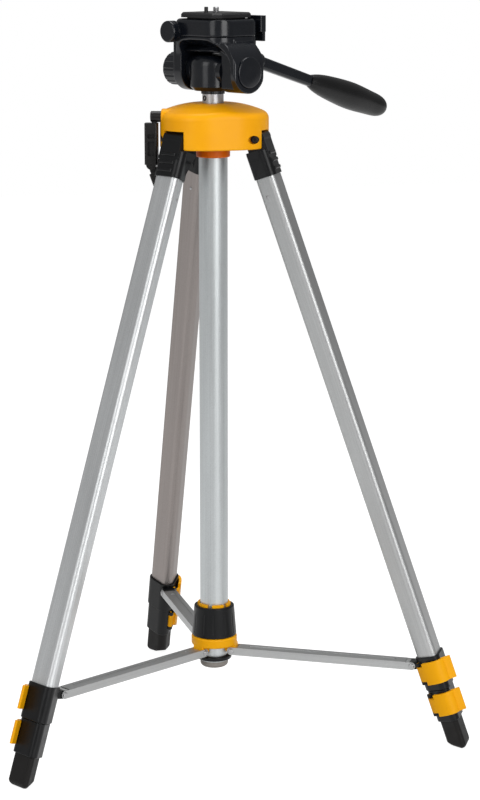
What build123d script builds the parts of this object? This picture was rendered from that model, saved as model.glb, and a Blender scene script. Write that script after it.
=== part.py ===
from build123d import *
import os
from math import acos, asin, atan2, cos, degrees, hypot, pi, radians, sin, tan

os.makedirs("parts", exist_ok=True)

# A three-legged stand for a levelling instrument: geared centre column, fluid-style head, folding spreader.
# Frame: origin on the floor under the column, +Z up, rear leg towards +Y, front legs at -30 and 210 degrees.

# Stand
LEG_AZIMUTHS = {"right": -30.0, "rear": 90.0, "left": 210.0}
LEG_TILT = 19.5
HINGE_HEIGHT = 636.0
HINGE_RADIUS = 50.0
LEG_AXIS_INSET = 4.4

# General clearances
SLIDE_GAP = 0.4
TURN_GAP = 0.3
RUN_GAP = 0.05
SEAT_GAP = 0.1

# Leg section: a triangle of rounded corners with its apex towards the column
CORNER_RADIUS = 5.0
CORNER_OUT = 5.5
CORNER_SIDE = 10.0
APEX_RADIUS = 8.0
APEX_IN = 5.5
TUBE_WALL = 1.2

# Leg pieces along the leg
BRACKET_DROP = 40.0
BRACKET_PLUG = 22.0
TUBE_SLEEVE = 7.0
UPPER_COLLAR_HEIGHT = 37.2
UPPER_COLLAR_WALL = 2.2
LOWER_COLLAR_HEIGHT = 35.2
LOWER_COLLAR_WALL = 2.6
COLLAR_SEAM = 0.4
FOOT_HEIGHT = 31.0
FOOT_WALL = 1.9
FOOT_SLEEVE = 16.0
FOOT_EDGE = 5.0
FOOT_RAMP = 20.0
FOOT_RAMP_INSET = 4.0
COLLAR_EDGE = 0.8
TUBE_STAGGER = 34.0

# Leg top bracket
KNUCKLE_WIDTH = 28.0
KNUCKLE_RADIUS = 8.2
SHOULDER_DROP = 11.0
SHOULDER_GROW = 1.6
SHOULDER_WIDTH = 33.0
SHOULDER_DEPTH_IN = 10.6
BRACKET_FOOT_WIDTH = 15.0
BRACKET_FOOT_IN = 8.5
GRIP_RIBS = 3
GRIP_RIB_PITCH = 8.2
GRIP_RIB_HEIGHT = 3.4
GRIP_RIB_PROUD = 1.5
HINGE_PIN_RADIUS = 2.5
HINGE_PIN_BITE = 5.0
HINGE_PIN_HEAD = 4.2
HINGE_PIN_HEAD_THICK = 3.2
PIN_GROOVE_GAP = 0.5

# Flip levers
LEVER_THICK = 3.2
LEVER_HEIGHT = 24.0
LEVER_TAB_HEIGHT = 15.6
LEVER_ARC_INSET = 15.0
LEVER_HINGE_ALONG = -7.0
LEVER_PIN_RADIUS = 1.5
LEVER_BARREL_RADIUS = 3.0
LEVER_TAB_LENGTH = 9.0
LEVER_TAB_START = 2.5
LEVER_WRAP = 20.0
LEVER_TIP_ALONG = 4.4
LEVER_TIP_IN = 5.6
LEVER_COLLAR_GAP = 0.5
LEVER_EAR_HEIGHT = 4.0
UPPER_LEVER_DROP = 4.8
LOWER_LEVER_DROP = 3.0

# Spreader
BRACE_WIDTH = 16.0
BRACE_DEPTH = 7.8
BRACE_SHEET = 1.2
BRACE_PIVOT_DROP = 4.2
BRACE_END_RADIUS = 4.1
BRACE_WEB_BACK = 7.0
BRACE_GROOVE_WIDTH = 6.0
BRACE_GROOVE_DEPTH = 0.5
BRACE_GROOVE_END = 18.0
RIVET_RADIUS = 2.0
RIVET_HEAD_RADIUS = 3.0
RIVET_HEAD_THICK = 1.2
LUG_DROP = 6.5
LUG_REACH = 21.0
LUG_RADIUS = 4.1
HUB_PIVOT_RADIUS = 20.5
HUB_RADIUS = 24.5
HUB_RING_RISE = 5.5
HUB_HEIGHT = 10.5
HUB_COLLET_HEIGHT = 36.0
HUB_COLLET_WALL = 2.4
COLLET_SLOTS = 6
COLLET_SLOT_WIDTH = 5.0
NUT_HEIGHT = 33.0
NUT_TOP_RADIUS = 21.4
NUT_BASE_RADIUS = 24.0
NUT_FLUTES = 12
NUT_FLUTE_RADIUS = 3.0
NUT_FLUTE_DEPTH = 0.35
NUT_LIP = 2.0
FOLDED_TILT = 1.5

# Guide tube and its end
GUIDE_RADIUS = 15.0
GUIDE_WALL = 1.2
GUIDE_RISE = 4.0
GUIDE_FOOT = 12.1
END_CAP_HEIGHT = 7.0
END_CAP_PLUG = 14.0
STOP_RING_RADIUS = 18.7
STOP_RING_HEIGHT = 5.0
STOP_RING_SEAT = 1.5

# Crown
CROWN_LOBE_OFFSET = 12.0
CROWN_LOBE_RADIUS = 46.0
CROWN_DROP = 10.0
CROWN_RISE = 35.0
CROWN_EAVES_DROP = 11.0
CROWN_BROW_RUN = 16.0
CROWN_BROW_DROP = 3.4
CROWN_ROUND = 8.0
CROWN_TOP_RADIUS = 24.0
CROWN_WALL = 3.0
CROWN_EDGE = 1.6
SLOT_WIDTH = 29.0
SLOT_RISE = 9.0
SLOT_INNER = 32.0
COLLAR_RING_RADIUS = 17.6
COLLAR_RING_HEIGHT = 10.5
BOSS_RADIUS = 20.0

# Geared column
COLUMN_RADIUS = 11.0
COLUMN_WALL = 1.5
COLUMN_STAND = 9.5
COLUMN_FOOT_GAP = 1.5
COLUMN_TRAVEL = 240.0
PLUG_HEIGHT = 22.0
BUSH_HEIGHT = 28.0
BUSH_FLANGE = 2.0
GEAR_MODULE = 1.25
PINION_TEETH = 13
PRESSURE_ANGLE = 20.0
TOOTH_ADDENDUM = 0.8
TOOTH_DEDENDUM = 0.95
TOOTH_BACKLASH = 0.25
RACK_PITCH_RADIUS = 12.2
RACK_WIDTH = 7.0
RACK_INSET = 1.5
PINION_FACE = 9.0
RACK_AZIMUTH = 250.0

# Crank
SHAFT_AZIMUTH = 160.0
SHAFT_RISE = 22.0
SHAFT_RADIUS = 5.7
SHAFT_TAIL = 14.0
SHAFT_END = 62.3
SHAFT_BOSS_WALL = 2.6
TANG_WIDTH = 6.0
TANG_THICK = 5.0
TANG_DROP = 15.0
TANG_INSET = 1.5
ARM_THICK = 13.5
ARM_WIDTH = 13.0
ARM_TOP_DROP = 6.6
ARM_BOTTOM_DROP = 49.0
ARM_OFFSET = 0.8
ARM_POCKET_DEPTH = 4.0
GRIP_LENGTH = 24.0
GRIP_LEAN = 20.0
GRIP_WIDTH = 12.0
GRIP_THICK = 11.0
GRIP_HINGE_RADIUS = 5.0
GRIP_PIN_RADIUS = 1.6

# Column lock
LOCK_AZIMUTH = 30.0
LOCK_RISE = 9.5
LOCK_STUD_RADIUS = 3.0
LOCK_KNOB_RADIUS = 9.0
LOCK_KNOB_START = 57.0
LOCK_KNOB_END = 67.0
LOCK_LOBES = 10

# Head
HEAD_AZIMUTH = -60.0
PAN_FLANGE_RADIUS = 12.2
PAN_FLANGE_HEIGHT = 3.4
PAN_RIBS = 24
PAN_SPIGOT_RADIUS = 6.0
PAN_SPIGOT_HEIGHT = 12.0
POST_RADIUS = 23.5
POST_FOOT_RADIUS = 19.5
POST_FOOT_HEIGHT = 4.0
POST_TOP_HEIGHT = 36.0
POST_TOP_FILLET = 10.0
TILT_RISE = 20.3
BARREL_RADIUS = 15.0
YOKE_INNER = 25.0
YOKE_RIGHT = 53.6
YOKE_LEFT = 38.0
DRUM_RADIUS = 21.5
YOKE_CORNER = 3.0
LIP_START = 19.0
LIP_RISE = 22.0
LIP_WIDTH = 4.0
LIP_DEPTH = 5.0
ARCH_RISE = 25.6
SEAM_RISE = 35.0
YOKE_TOP_WIDTH = 70.0
YOKE_TOP_DEPTH = 60.0
YOKE_FLARE_RISE = 15.0
ARCH_RUN = 30.0
CAP_RADIUS = 15.4
CAP_PROUD = 1.0
AXLE_RADIUS = 4.0
AXLE_REACH = 42.0
TILT_KNOB_RADIUS = 17.2
TILT_KNOB_LENGTH = 19.6
TILT_KNOB_FLUTES = 16
PLATFORM_HEIGHT = 17.5
PLATFORM_CORNER = 12.0
PLATFORM_EDGE = 4.0
TOP_SHIFT = 4.6
FLIP_AXIS_INSET = 4.0
FLIP_AXIS_RISE = 4.4
SIDE_KNOB_RADIUS = 11.0
SIDE_KNOB_LENGTH = 10.0
SIDE_KNOB_EDGE = 1.8
PLATE_WIDTH = 60.0
PLATE_DEPTH = 56.0
PLATE_CHAMFER = 7.5
PLATE_THICK = 5.0
PLATE_LIFT = 1.4
PLATE_BEVEL = 1.8
PLATE_FOOT = 42.0
PLATE_FOOT_DEPTH = 5.0
SCREW_RADIUS = 3.175
SCREW_PROUD = 5.4
SCREW_NECK_RADIUS = 2.7
SCREW_CHAMFER = 0.5
SCREW_HEAD_RADIUS = 8.0
SCREW_HEAD_THICK = 3.0
SCREW_HOLE_GAP = 0.3
INDEX_PIN_RADIUS = 2.0
INDEX_PIN_PROUD = 5.8
INDEX_PIN_AHEAD = 14.0
INDEX_PIN_TRAVEL = 4.0
LATCH_LENGTH = 25.0
LATCH_THICK = 7.6
LATCH_HEIGHT = 16.5
LATCH_TAB_DROP = 9.5
LATCH_PIN_RADIUS = 2.5

# Pan handle
HANDLE_SIDE = 40.0
HANDLE_BACK = 20.0
HANDLE_RISE = 11.0
HANDLE_SLOPE = 16.7
HANDLE_ROOT_RADIUS = 9.0
ROD_WIDTH = 9.0
ROD_ROOT_HEIGHT = 12.8
ROD_HEIGHT = 11.8
ROD_LENGTH = 85.0
GRIP_BAR_LENGTH = 122.0
GRIP_BAR_RADIUS = 14.5


# Placement and shape helpers
def cylinder(radius, bottom, top):
    return Pos(0, 0, (bottom + top) / 2) * Cylinder(radius, top - bottom)


def block(x0, x1, y0, y1, z0, z1):
    return Pos((x0 + x1) / 2, (y0 + y1) / 2, (z0 + z1) / 2) * Box(x1 - x0, y1 - y0, z1 - z0)


def along_x(shape):
    return Rot(0, 90, 0) * shape


def along_y(shape):
    return Rot(-90, 0, 0) * shape


def prism(sketch, bottom, top):
    return Pos(0, 0, bottom) * extrude(sketch, top - bottom)


def prism_x(sketch, left, right):
    # The sketch's x and y become world y and z
    return extrude(Plane.YZ.offset(left) * sketch, right - left)


def prism_y(sketch, front, back):
    # The sketch's x and y become world x and z
    return extrude(Plane.XZ.offset(-back) * sketch, back - front)


def hull_of(circles):
    edges = []
    for x, y, radius in circles:
        edges += (Pos(x, y) * Circle(radius)).edges()
    return make_hull(edges)


def at_azimuth(azimuth, shape):
    return Rot(0, 0, azimuth) * shape


def write(name, shape):
    shape.label = name
    export_step(shape, os.path.join("parts", name + ".step"))


# Leg geometry: local origin at the hinge pin, +X outward, +Z up the leg
def leg_section(grow):
    return Pos(-LEG_AXIS_INSET, 0) * hull_of([
        (CORNER_OUT, CORNER_SIDE, CORNER_RADIUS + grow),
        (CORNER_OUT, -CORNER_SIDE, CORNER_RADIUS + grow),
        (-APEX_IN, 0, APEX_RADIUS + grow),
    ])


def leg_place(azimuth, shape):
    hinge = Pos(HINGE_RADIUS, 0, HINGE_HEIGHT) * Rot(0, -LEG_TILT, 0)
    return at_azimuth(azimuth, hinge * shape)


tilt = radians(LEG_TILT)
LEG_RUN = (HINGE_HEIGHT - LEG_AXIS_INSET * sin(tilt)) / cos(tilt)
FOOT_TOP = FOOT_HEIGHT - LEG_RUN
LOWER_COLLAR_BOTTOM = FOOT_TOP + COLLAR_SEAM
LOWER_COLLAR_TOP = LOWER_COLLAR_BOTTOM + LOWER_COLLAR_HEIGHT
UPPER_COLLAR_BOTTOM = LOWER_COLLAR_TOP + COLLAR_SEAM
UPPER_COLLAR_TOP = UPPER_COLLAR_BOTTOM + UPPER_COLLAR_HEIGHT
UPPER_TUBE_BOTTOM = UPPER_COLLAR_TOP - TUBE_SLEEVE
MIDDLE_TUBE_BOTTOM = LOWER_COLLAR_TOP - TUBE_SLEEVE
LOWER_TUBE_BOTTOM = FOOT_TOP - FOOT_SLEEVE

MIDDLE_GROW = -TUBE_WALL - SLIDE_GAP
LOWER_GROW = MIDDLE_GROW - TUBE_WALL - SLIDE_GAP
MIDDLE_TUBE_TOP = -BRACKET_DROP - BRACKET_PLUG - TUBE_STAGGER
LOWER_TUBE_TOP = MIDDLE_TUBE_TOP - TUBE_STAGGER
LOWER_COLLAR_GROW = MIDDLE_GROW + LOWER_COLLAR_WALL
FOOT_GROW = LOWER_GROW + FOOT_WALL

# Spreader geometry at full spread, where the braces lie level
LUG_X = -LEG_AXIS_INSET - LUG_REACH
LUG_Z = UPPER_COLLAR_TOP - LUG_DROP
LUG_RADIUS_OUT = HINGE_RADIUS + LUG_X * cos(tilt) - LUG_Z * sin(tilt)
PIVOT_HEIGHT = HINGE_HEIGHT + LUG_X * sin(tilt) + LUG_Z * cos(tilt)
BRACE_LENGTH = LUG_RADIUS_OUT - HUB_PIVOT_RADIUS
TONGUE_WIDTH = BRACE_WIDTH - 2 * BRACE_SHEET - 2 * TURN_GAP

# Folded spreader: where the hub and the braces end when the legs stand almost upright
folded = radians(FOLDED_TILT)
FOLDED_LUG_RADIUS = HINGE_RADIUS + LUG_X * cos(folded) - LUG_Z * sin(folded)
FOLDED_LUG_HEIGHT = HINGE_HEIGHT + LUG_X * sin(folded) + LUG_Z * cos(folded)
FOLD_BRACE = acos((FOLDED_LUG_RADIUS - HUB_PIVOT_RADIUS) / BRACE_LENGTH)
HUB_TRAVEL = FOLDED_LUG_HEIGHT + BRACE_LENGTH * sin(FOLD_BRACE) - PIVOT_HEIGHT


def hinge_pin_in_leg(share):
    # Where the crown's hinge pin lies in the leg's frame, as (inward, up), at a share of an even fold
    lean = tilt + (folded - tilt) * share
    drop = FOLD_BRACE * share
    lug_r = HUB_PIVOT_RADIUS + BRACE_LENGTH * cos(drop)
    lug_z = PIVOT_HEIGHT + HUB_TRAVEL * share - BRACE_LENGTH * sin(drop)
    top_r = lug_r - LUG_X * cos(lean) + LUG_Z * sin(lean)
    top_z = lug_z - LUG_X * sin(lean) - LUG_Z * cos(lean)
    off_r = HINGE_RADIUS - top_r
    off_z = HINGE_HEIGHT - top_z
    return (off_r * cos(lean) + off_z * sin(lean), off_z * cos(lean) - off_r * sin(lean))


# Crown, column and guide heights
CROWN_BOTTOM = HINGE_HEIGHT - CROWN_DROP
CROWN_TOP = HINGE_HEIGHT + CROWN_RISE
SLOT_TOP = HINGE_HEIGHT + SLOT_RISE
COLLAR_RING_BOTTOM = CROWN_BOTTOM - COLLAR_RING_HEIGHT
GUIDE_TOP = HINGE_HEIGHT + GUIDE_RISE
GUIDE_BOTTOM = PIVOT_HEIGHT - GUIDE_FOOT
STOP_RING_BOTTOM = GUIDE_BOTTOM + STOP_RING_SEAT
SHAFT_HEIGHT = HINGE_HEIGHT + SHAFT_RISE
LOCK_HEIGHT = HINGE_HEIGHT + LOCK_RISE
COLUMN_TOP = CROWN_TOP + COLUMN_STAND
COLUMN_BOTTOM = GUIDE_BOTTOM + END_CAP_PLUG + COLUMN_FOOT_GAP + PLUG_HEIGHT
RACK_TOP = CROWN_TOP - RACK_INSET


# Leg pieces
def leg_bracket():
    knuckle = prism_y(hull_of([(0, 0, KNUCKLE_RADIUS)]), -KNUCKLE_WIDTH / 2, KNUCKLE_WIDTH / 2)
    outer_face = -LEG_AXIS_INSET + CORNER_OUT + CORNER_RADIUS + SHOULDER_GROW
    neck_low = -SHOULDER_DROP - BRACKET_PLUG / 2
    neck = block(-KNUCKLE_RADIUS - LEG_AXIS_INSET, outer_face, -KNUCKLE_WIDTH / 2, KNUCKLE_WIDTH / 2, neck_low, 0)
    shoulder = prism(leg_section(SHOULDER_GROW), -BRACKET_DROP, -SHOULDER_DROP)
    shoulder = chamfer(shoulder.faces().sort_by(Axis.Z)[-1].edges(), SHOULDER_GROW)
    wing_side = make_face(Polyline([
        (-LEG_AXIS_INSET - SHOULDER_DEPTH_IN, -SHOULDER_DROP), (outer_face - CORNER_RADIUS, -SHOULDER_DROP),
        (outer_face - CORNER_RADIUS, -BRACKET_DROP), (-LEG_AXIS_INSET - BRACKET_FOOT_IN, -BRACKET_DROP),
    ], close=True))
    half_top = SHOULDER_WIDTH / 2
    half_foot = BRACKET_FOOT_WIDTH / 2
    wing_front = make_face(Polyline([
        (-half_top, -SHOULDER_DROP), (half_top, -SHOULDER_DROP), (half_foot, -BRACKET_DROP), (-half_foot, -BRACKET_DROP),
    ], close=True))
    wing = prism_y(wing_side, -half_top, half_top) & prism_x(wing_front, -SHOULDER_WIDTH, SHOULDER_WIDTH)
    body = knuckle + neck + shoulder + wing
    for index in range(GRIP_RIBS):
        middle = -SHOULDER_DROP - GRIP_RIB_PITCH * (index + 0.75)
        rib = block(0, outer_face + GRIP_RIB_PROUD, -CORNER_SIDE, CORNER_SIDE,
                    middle - GRIP_RIB_HEIGHT / 2, middle + GRIP_RIB_HEIGHT / 2)
        body += fillet(rib.faces().sort_by(Axis.X)[-1].edges(), GRIP_RIB_PROUD * 0.8)
    plug = prism(leg_section(-TUBE_WALL - SEAT_GAP), -BRACKET_DROP - BRACKET_PLUG, -BRACKET_DROP)
    body += plug - prism(leg_section(-2.5 * TUBE_WALL), -BRACKET_DROP - BRACKET_PLUG, -BRACKET_DROP - TUBE_WALL)
    path = [hinge_pin_in_leg(share) for share in (0, 0.15, 0.3, 0.5, 0.7, 0.85)]
    groove = hull_of([(x, z, HINGE_PIN_RADIUS + PIN_GROOVE_GAP) for x, z in path])
    inner = KNUCKLE_WIDTH / 2 - HINGE_PIN_BITE
    for side in (-1, 1):
        ends = sorted((side * inner, side * KNUCKLE_WIDTH))
        body -= prism_y(groove, ends[0], ends[1])
    return body


def tube_between(grow, bottom, top):
    return prism(leg_section(grow) - leg_section(grow - TUBE_WALL), bottom, top)


def lever_frame(shape):
    # Turns a shape drawn along the lever's face into the leg's frame
    return Pos(-LEG_AXIS_INSET, 0, 0) * Rot(0, 0, -30) * Rot(180, 0, 0) * shape


def lever_face(grow):
    return APEX_IN * sin(radians(30)) + APEX_RADIUS + grow


def lever_corner():
    along = CORNER_OUT * cos(radians(30)) + CORNER_SIDE * sin(radians(30))
    out = CORNER_SIDE * cos(radians(30)) - CORNER_OUT * sin(radians(30))
    return (along, out)


def lever_pivot(grow):
    return (LEVER_HINGE_ALONG, lever_face(grow) + 0.5)


def collar_ears(grow, top, drop):
    # Two ears hold the lever's pin above and below its tab
    along, out = lever_pivot(grow)
    middle = LEVER_HEIGHT / 2 + drop
    ears = None
    for side in (-1, 1):
        gap = LEVER_TAB_HEIGHT / 2 + TURN_GAP
        ends = sorted((side * gap, side * (gap + LEVER_EAR_HEIGHT)))
        ear = prism(hull_of([(along, out, LEVER_BARREL_RADIUS), (along + 5.0, out - 6.0, LEVER_BARREL_RADIUS)]),
                    ends[0], ends[1])
        ears = ear if ears is None else ears + ear
    return Pos(0, 0, top - middle) * lever_frame(ears)


def lever_room(grow, top, drop):
    # Space for the lever's barrel and its pin
    along, out = lever_pivot(grow)
    tab_reach = LEVER_TAB_HEIGHT / 2 + TURN_GAP
    pin_reach = tab_reach + LEVER_EAR_HEIGHT
    room = cylinder(LEVER_BARREL_RADIUS + TURN_GAP, -tab_reach, tab_reach)
    room += cylinder(LEVER_PIN_RADIUS + RUN_GAP, -pin_reach, pin_reach)
    return Pos(0, 0, top - LEVER_HEIGHT / 2 - drop) * lever_frame(Pos(along, out) * room)


def collar(grow, bottom, top, drop, sleeve_grow, guide_grow):
    shell = prism(leg_section(grow), bottom, top)
    shell = fillet(shell.faces().sort_by(Axis.Z)[0].edges() + shell.faces().sort_by(Axis.Z)[-1].edges(), COLLAR_EDGE)
    shell += collar_ears(grow, top, drop)
    shell -= prism(leg_section(sleeve_grow), top - TUBE_SLEEVE, top)
    shell -= prism(leg_section(guide_grow), bottom, top)
    return shell - lever_room(grow, top, drop)


def upper_collar():
    shell = collar(UPPER_COLLAR_WALL, UPPER_COLLAR_BOTTOM, UPPER_COLLAR_TOP, UPPER_LEVER_DROP, 0, -TUBE_WALL)
    root = -LEG_AXIS_INSET - APEX_IN - APEX_RADIUS
    lug = prism_y(hull_of([(LUG_X, LUG_Z, LUG_RADIUS), (root - 1.0, LUG_Z - 1.0, LUG_RADIUS)]),
                  -TONGUE_WIDTH / 2, TONGUE_WIDTH / 2)
    lug -= prism(leg_section(0), UPPER_COLLAR_BOTTOM, UPPER_COLLAR_TOP)
    lug -= Pos(LUG_X, 0, LUG_Z) * along_y(cylinder(RIVET_RADIUS + RUN_GAP, -TONGUE_WIDTH, TONGUE_WIDTH))
    return shell + (lug - lever_room(UPPER_COLLAR_WALL, UPPER_COLLAR_TOP, UPPER_LEVER_DROP))


def lower_collar():
    return collar(LOWER_COLLAR_GROW, LOWER_COLLAR_BOTTOM, LOWER_COLLAR_TOP, LOWER_LEVER_DROP,
                  MIDDLE_GROW, MIDDLE_GROW - TUBE_WALL)


def flip_lever(grow, top, drop):
    # A bowed plate that closes over the collar's corner and ends in a flared finger tip
    corner_along, corner_out = lever_corner()
    corner_radius = CORNER_RADIUS + grow + LEVER_COLLAR_GAP + LEVER_THICK / 2
    bow_radius = hypot(corner_along, corner_out + LEVER_ARC_INSET) + corner_radius
    lean = degrees(atan2(corner_out + LEVER_ARC_INSET, corner_along))
    along, out = lever_pivot(grow)

    def bow(first, last):
        # Part of the bowed centre line, between two distances along the face
        turn = degrees(acos(first / bow_radius))
        back = lean if last is None else degrees(acos(last / bow_radius))
        return CenterArc((0, -LEVER_ARC_INSET), bow_radius, back, turn - back)

    start = along + LEVER_TAB_LENGTH
    wrap = CenterArc((corner_along, corner_out), corner_radius, -LEVER_WRAP, lean + LEVER_WRAP)
    bend = wrap @ 0
    tip = (bend.X + LEVER_TIP_ALONG, bend.Y - LEVER_TIP_IN)
    finger = hull_of([(bend.X, bend.Y, LEVER_THICK / 2), (tip[0], tip[1], LEVER_THICK / 2)])
    plate = prism(trace([bow(start, None), wrap], LEVER_THICK) + finger, -LEVER_HEIGHT / 2, LEVER_HEIGHT / 2)
    half_tab = LEVER_TAB_HEIGHT / 2
    tab = prism(trace(bow(along + LEVER_TAB_START, start + 1.0), LEVER_THICK), -half_tab, half_tab)
    barrel = Pos(along, out) * cylinder(LEVER_BARREL_RADIUS, -half_tab, half_tab)
    web = prism(hull_of([(along, out, LEVER_BARREL_RADIUS - 0.5), (along + 4.0, out + 2.6, 1.4)]), -half_tab, half_tab)
    pin_reach = half_tab + LEVER_EAR_HEIGHT
    pin = Pos(along, out) * cylinder(LEVER_PIN_RADIUS, -pin_reach, pin_reach)
    lever = plate + tab + barrel + web + pin
    return Pos(0, 0, top - LEVER_HEIGHT / 2 - drop) * lever_frame(lever)


def rubber_foot():
    # Drawn standing at azimuth 0; the inner part of the sole rises towards the column
    foot = prism(leg_section(FOOT_GROW), -LEG_RUN - 2 * FOOT_HEIGHT, FOOT_TOP)
    foot -= prism(leg_section(LOWER_GROW), LOWER_TUBE_BOTTOM, FOOT_TOP)
    foot = leg_place(0, foot)
    foot -= Pos(0, 0, -HINGE_HEIGHT) * Box(4 * HINGE_HEIGHT, 4 * HINGE_HEIGHT, 2 * HINGE_HEIGHT)
    sole = foot.faces().sort_by(Axis.Z)[0]
    foot = fillet(sole.outer_wire().edges(), FOOT_EDGE)
    toe = HINGE_RADIUS - LEG_AXIS_INSET * cos(tilt) + LEG_RUN * sin(tilt) - FOOT_RAMP_INSET
    reach = 2 * FOOT_HEIGHT
    return foot - Pos(toe, 0, 0) * Rot(0, FOOT_RAMP, 0) * block(-reach, 0, -reach, reach, -reach, 0)


# Spreader pieces
def brace():
    # Local frame: inner pivot at the origin, +X outward, level
    web_top = BRACE_PIVOT_DROP
    low = web_top - BRACE_DEPTH
    ends = hull_of([(0, 0, BRACE_END_RADIUS), (BRACE_LENGTH, 0, BRACE_END_RADIUS)])
    half = BRACE_WIDTH / 2
    flange_band = Rectangle(2 * (BRACE_LENGTH + BRACE_DEPTH), BRACE_DEPTH)
    flange_band = Pos(BRACE_LENGTH / 2, web_top - BRACE_DEPTH / 2) * flange_band
    long_side = hull_of([(0, 0, BRACE_END_RADIUS), (BRACE_LENGTH, 0, BRACE_END_RADIUS)])
    mid = Pos(BRACE_LENGTH / 2, web_top - BRACE_DEPTH / 2) * Rectangle(BRACE_LENGTH - 2 * BRACE_WEB_BACK, BRACE_DEPTH)
    side_face = long_side + mid
    channel = prism_y(side_face, -half, half)
    hollow = block(-BRACE_DEPTH, BRACE_LENGTH + BRACE_DEPTH, -half + BRACE_SHEET, half - BRACE_SHEET,
                   low - BRACE_DEPTH, web_top - BRACE_SHEET)
    end_room = BRACE_WEB_BACK
    channel -= hollow
    channel -= block(-BRACE_DEPTH, end_room, -half + BRACE_SHEET, half - BRACE_SHEET, low, web_top + 1)
    channel -= block(BRACE_LENGTH - end_room, BRACE_LENGTH + BRACE_DEPTH, -half + BRACE_SHEET, half - BRACE_SHEET,
                     low, web_top + 1)
    groove = SlotOverall(BRACE_LENGTH - 2 * BRACE_GROOVE_END, BRACE_GROOVE_WIDTH)
    channel -= Pos(BRACE_LENGTH / 2, 0, web_top - BRACE_GROOVE_DEPTH) * extrude(groove, BRACE_GROOVE_DEPTH)
    for x in (0, BRACE_LENGTH):
        channel -= Pos(x, 0, 0) * along_y(cylinder(RIVET_RADIUS + RUN_GAP, -BRACE_WIDTH, BRACE_WIDTH))
    return Pos(HUB_PIVOT_RADIUS, 0, PIVOT_HEIGHT) * channel


def brace_rivets():
    half = BRACE_WIDTH / 2
    shank = cylinder(RIVET_RADIUS, -half, half)
    heads = cylinder(RIVET_HEAD_RADIUS, half, half + RIVET_HEAD_THICK)
    heads = fillet(heads.faces().sort_by(Axis.Z)[-1].edges(), RIVET_HEAD_THICK * 0.8)
    rivet = along_y(shank + heads + Rot(180, 0, 0) * heads)
    pair = [Pos(HUB_PIVOT_RADIUS + x, 0, PIVOT_HEIGHT) * rivet for x in (0, BRACE_LENGTH)]
    return pair[0] + pair[1]


RING_BOTTOM = PIVOT_HEIGHT + HUB_RING_RISE
RING_TOP = RING_BOTTOM + HUB_HEIGHT
HUB_BORE = GUIDE_RADIUS + TURN_GAP


def brace_hub():
    ring = cylinder(HUB_RADIUS, RING_BOTTOM, RING_TOP)
    ring = fillet(ring.edges(), 2.0)
    collet = cylinder(HUB_BORE + HUB_COLLET_WALL, RING_TOP - 1.0, RING_TOP + HUB_COLLET_HEIGHT)
    ears = None
    for azimuth in LEG_AZIMUTHS.values():
        profile = hull_of([
            (HUB_PIVOT_RADIUS, PIVOT_HEIGHT, BRACE_END_RADIUS),
            (HUB_PIVOT_RADIUS, RING_BOTTOM, BRACE_END_RADIUS),
            (GUIDE_RADIUS, RING_BOTTOM, BRACE_END_RADIUS),
        ])
        ear = prism_y(profile, -TONGUE_WIDTH / 2, TONGUE_WIDTH / 2)
        bore = along_y(cylinder(RIVET_RADIUS + RUN_GAP, -TONGUE_WIDTH, TONGUE_WIDTH))
        ear -= Pos(HUB_PIVOT_RADIUS, 0, PIVOT_HEIGHT) * bore
        ears = at_azimuth(azimuth, ear) if ears is None else ears + at_azimuth(azimuth, ear)
    for index in range(COLLET_SLOTS):
        slot = block(0, HUB_RADIUS, -COLLET_SLOT_WIDTH / 2, COLLET_SLOT_WIDTH / 2,
                     RING_TOP + 8.0, RING_TOP + HUB_COLLET_HEIGHT)
        collet -= at_azimuth(index * 360 / COLLET_SLOTS, slot)
    hub = ring + collet + ears
    return hub - cylinder(HUB_BORE, 0, RING_TOP + HUB_COLLET_HEIGHT)


def spread_lock_nut():
    bottom = RING_TOP + TURN_GAP
    top = bottom + NUT_HEIGHT
    nut = loft([Pos(0, 0, bottom) * Circle(NUT_BASE_RADIUS), Pos(0, 0, top) * Circle(NUT_TOP_RADIUS)])
    nut = fillet(nut.edges(), 1.4)
    taper = degrees(atan2(NUT_BASE_RADIUS - NUT_TOP_RADIUS, NUT_HEIGHT))
    for index in range(NUT_FLUTES):
        centre = NUT_BASE_RADIUS + NUT_FLUTE_RADIUS - NUT_FLUTE_DEPTH
        flute = Pos(centre, 0, bottom) * Rot(0, -taper, 0) * cylinder(NUT_FLUTE_RADIUS, 4.0, NUT_HEIGHT - 7.0)
        nut -= at_azimuth((index + 0.5) * 360 / NUT_FLUTES, flute)
    clear = HUB_BORE + HUB_COLLET_WALL + TURN_GAP
    nut -= cylinder(clear, bottom, top)
    return nut


# Guide tube pieces
def guide_tube():
    return cylinder(GUIDE_RADIUS, GUIDE_BOTTOM, GUIDE_TOP) - cylinder(GUIDE_RADIUS - GUIDE_WALL, GUIDE_BOTTOM, GUIDE_TOP)


def tube_end_cap():
    cap = cylinder(GUIDE_RADIUS, GUIDE_BOTTOM - END_CAP_HEIGHT, GUIDE_BOTTOM)
    cap = fillet(cap.faces().sort_by(Axis.Z)[0].edges(), END_CAP_HEIGHT * 0.6)
    plug_radius = GUIDE_RADIUS - GUIDE_WALL - SEAT_GAP
    plug = cylinder(plug_radius, GUIDE_BOTTOM, GUIDE_BOTTOM + END_CAP_PLUG)
    hollow = cylinder(plug_radius - 2.0, GUIDE_BOTTOM - END_CAP_HEIGHT + 2.0, GUIDE_BOTTOM + END_CAP_PLUG)
    return cap + plug - hollow


def stop_ring():
    top = STOP_RING_BOTTOM + STOP_RING_HEIGHT
    ring = cylinder(STOP_RING_RADIUS, STOP_RING_BOTTOM, top)
    ring = fillet(ring.edges(), 1.6)
    return ring - cylinder(GUIDE_RADIUS, STOP_RING_BOTTOM, top)


# Crown pieces
SHAFT_OFFSET = RACK_PITCH_RADIUS + GEAR_MODULE * PINION_TEETH / 2


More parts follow.
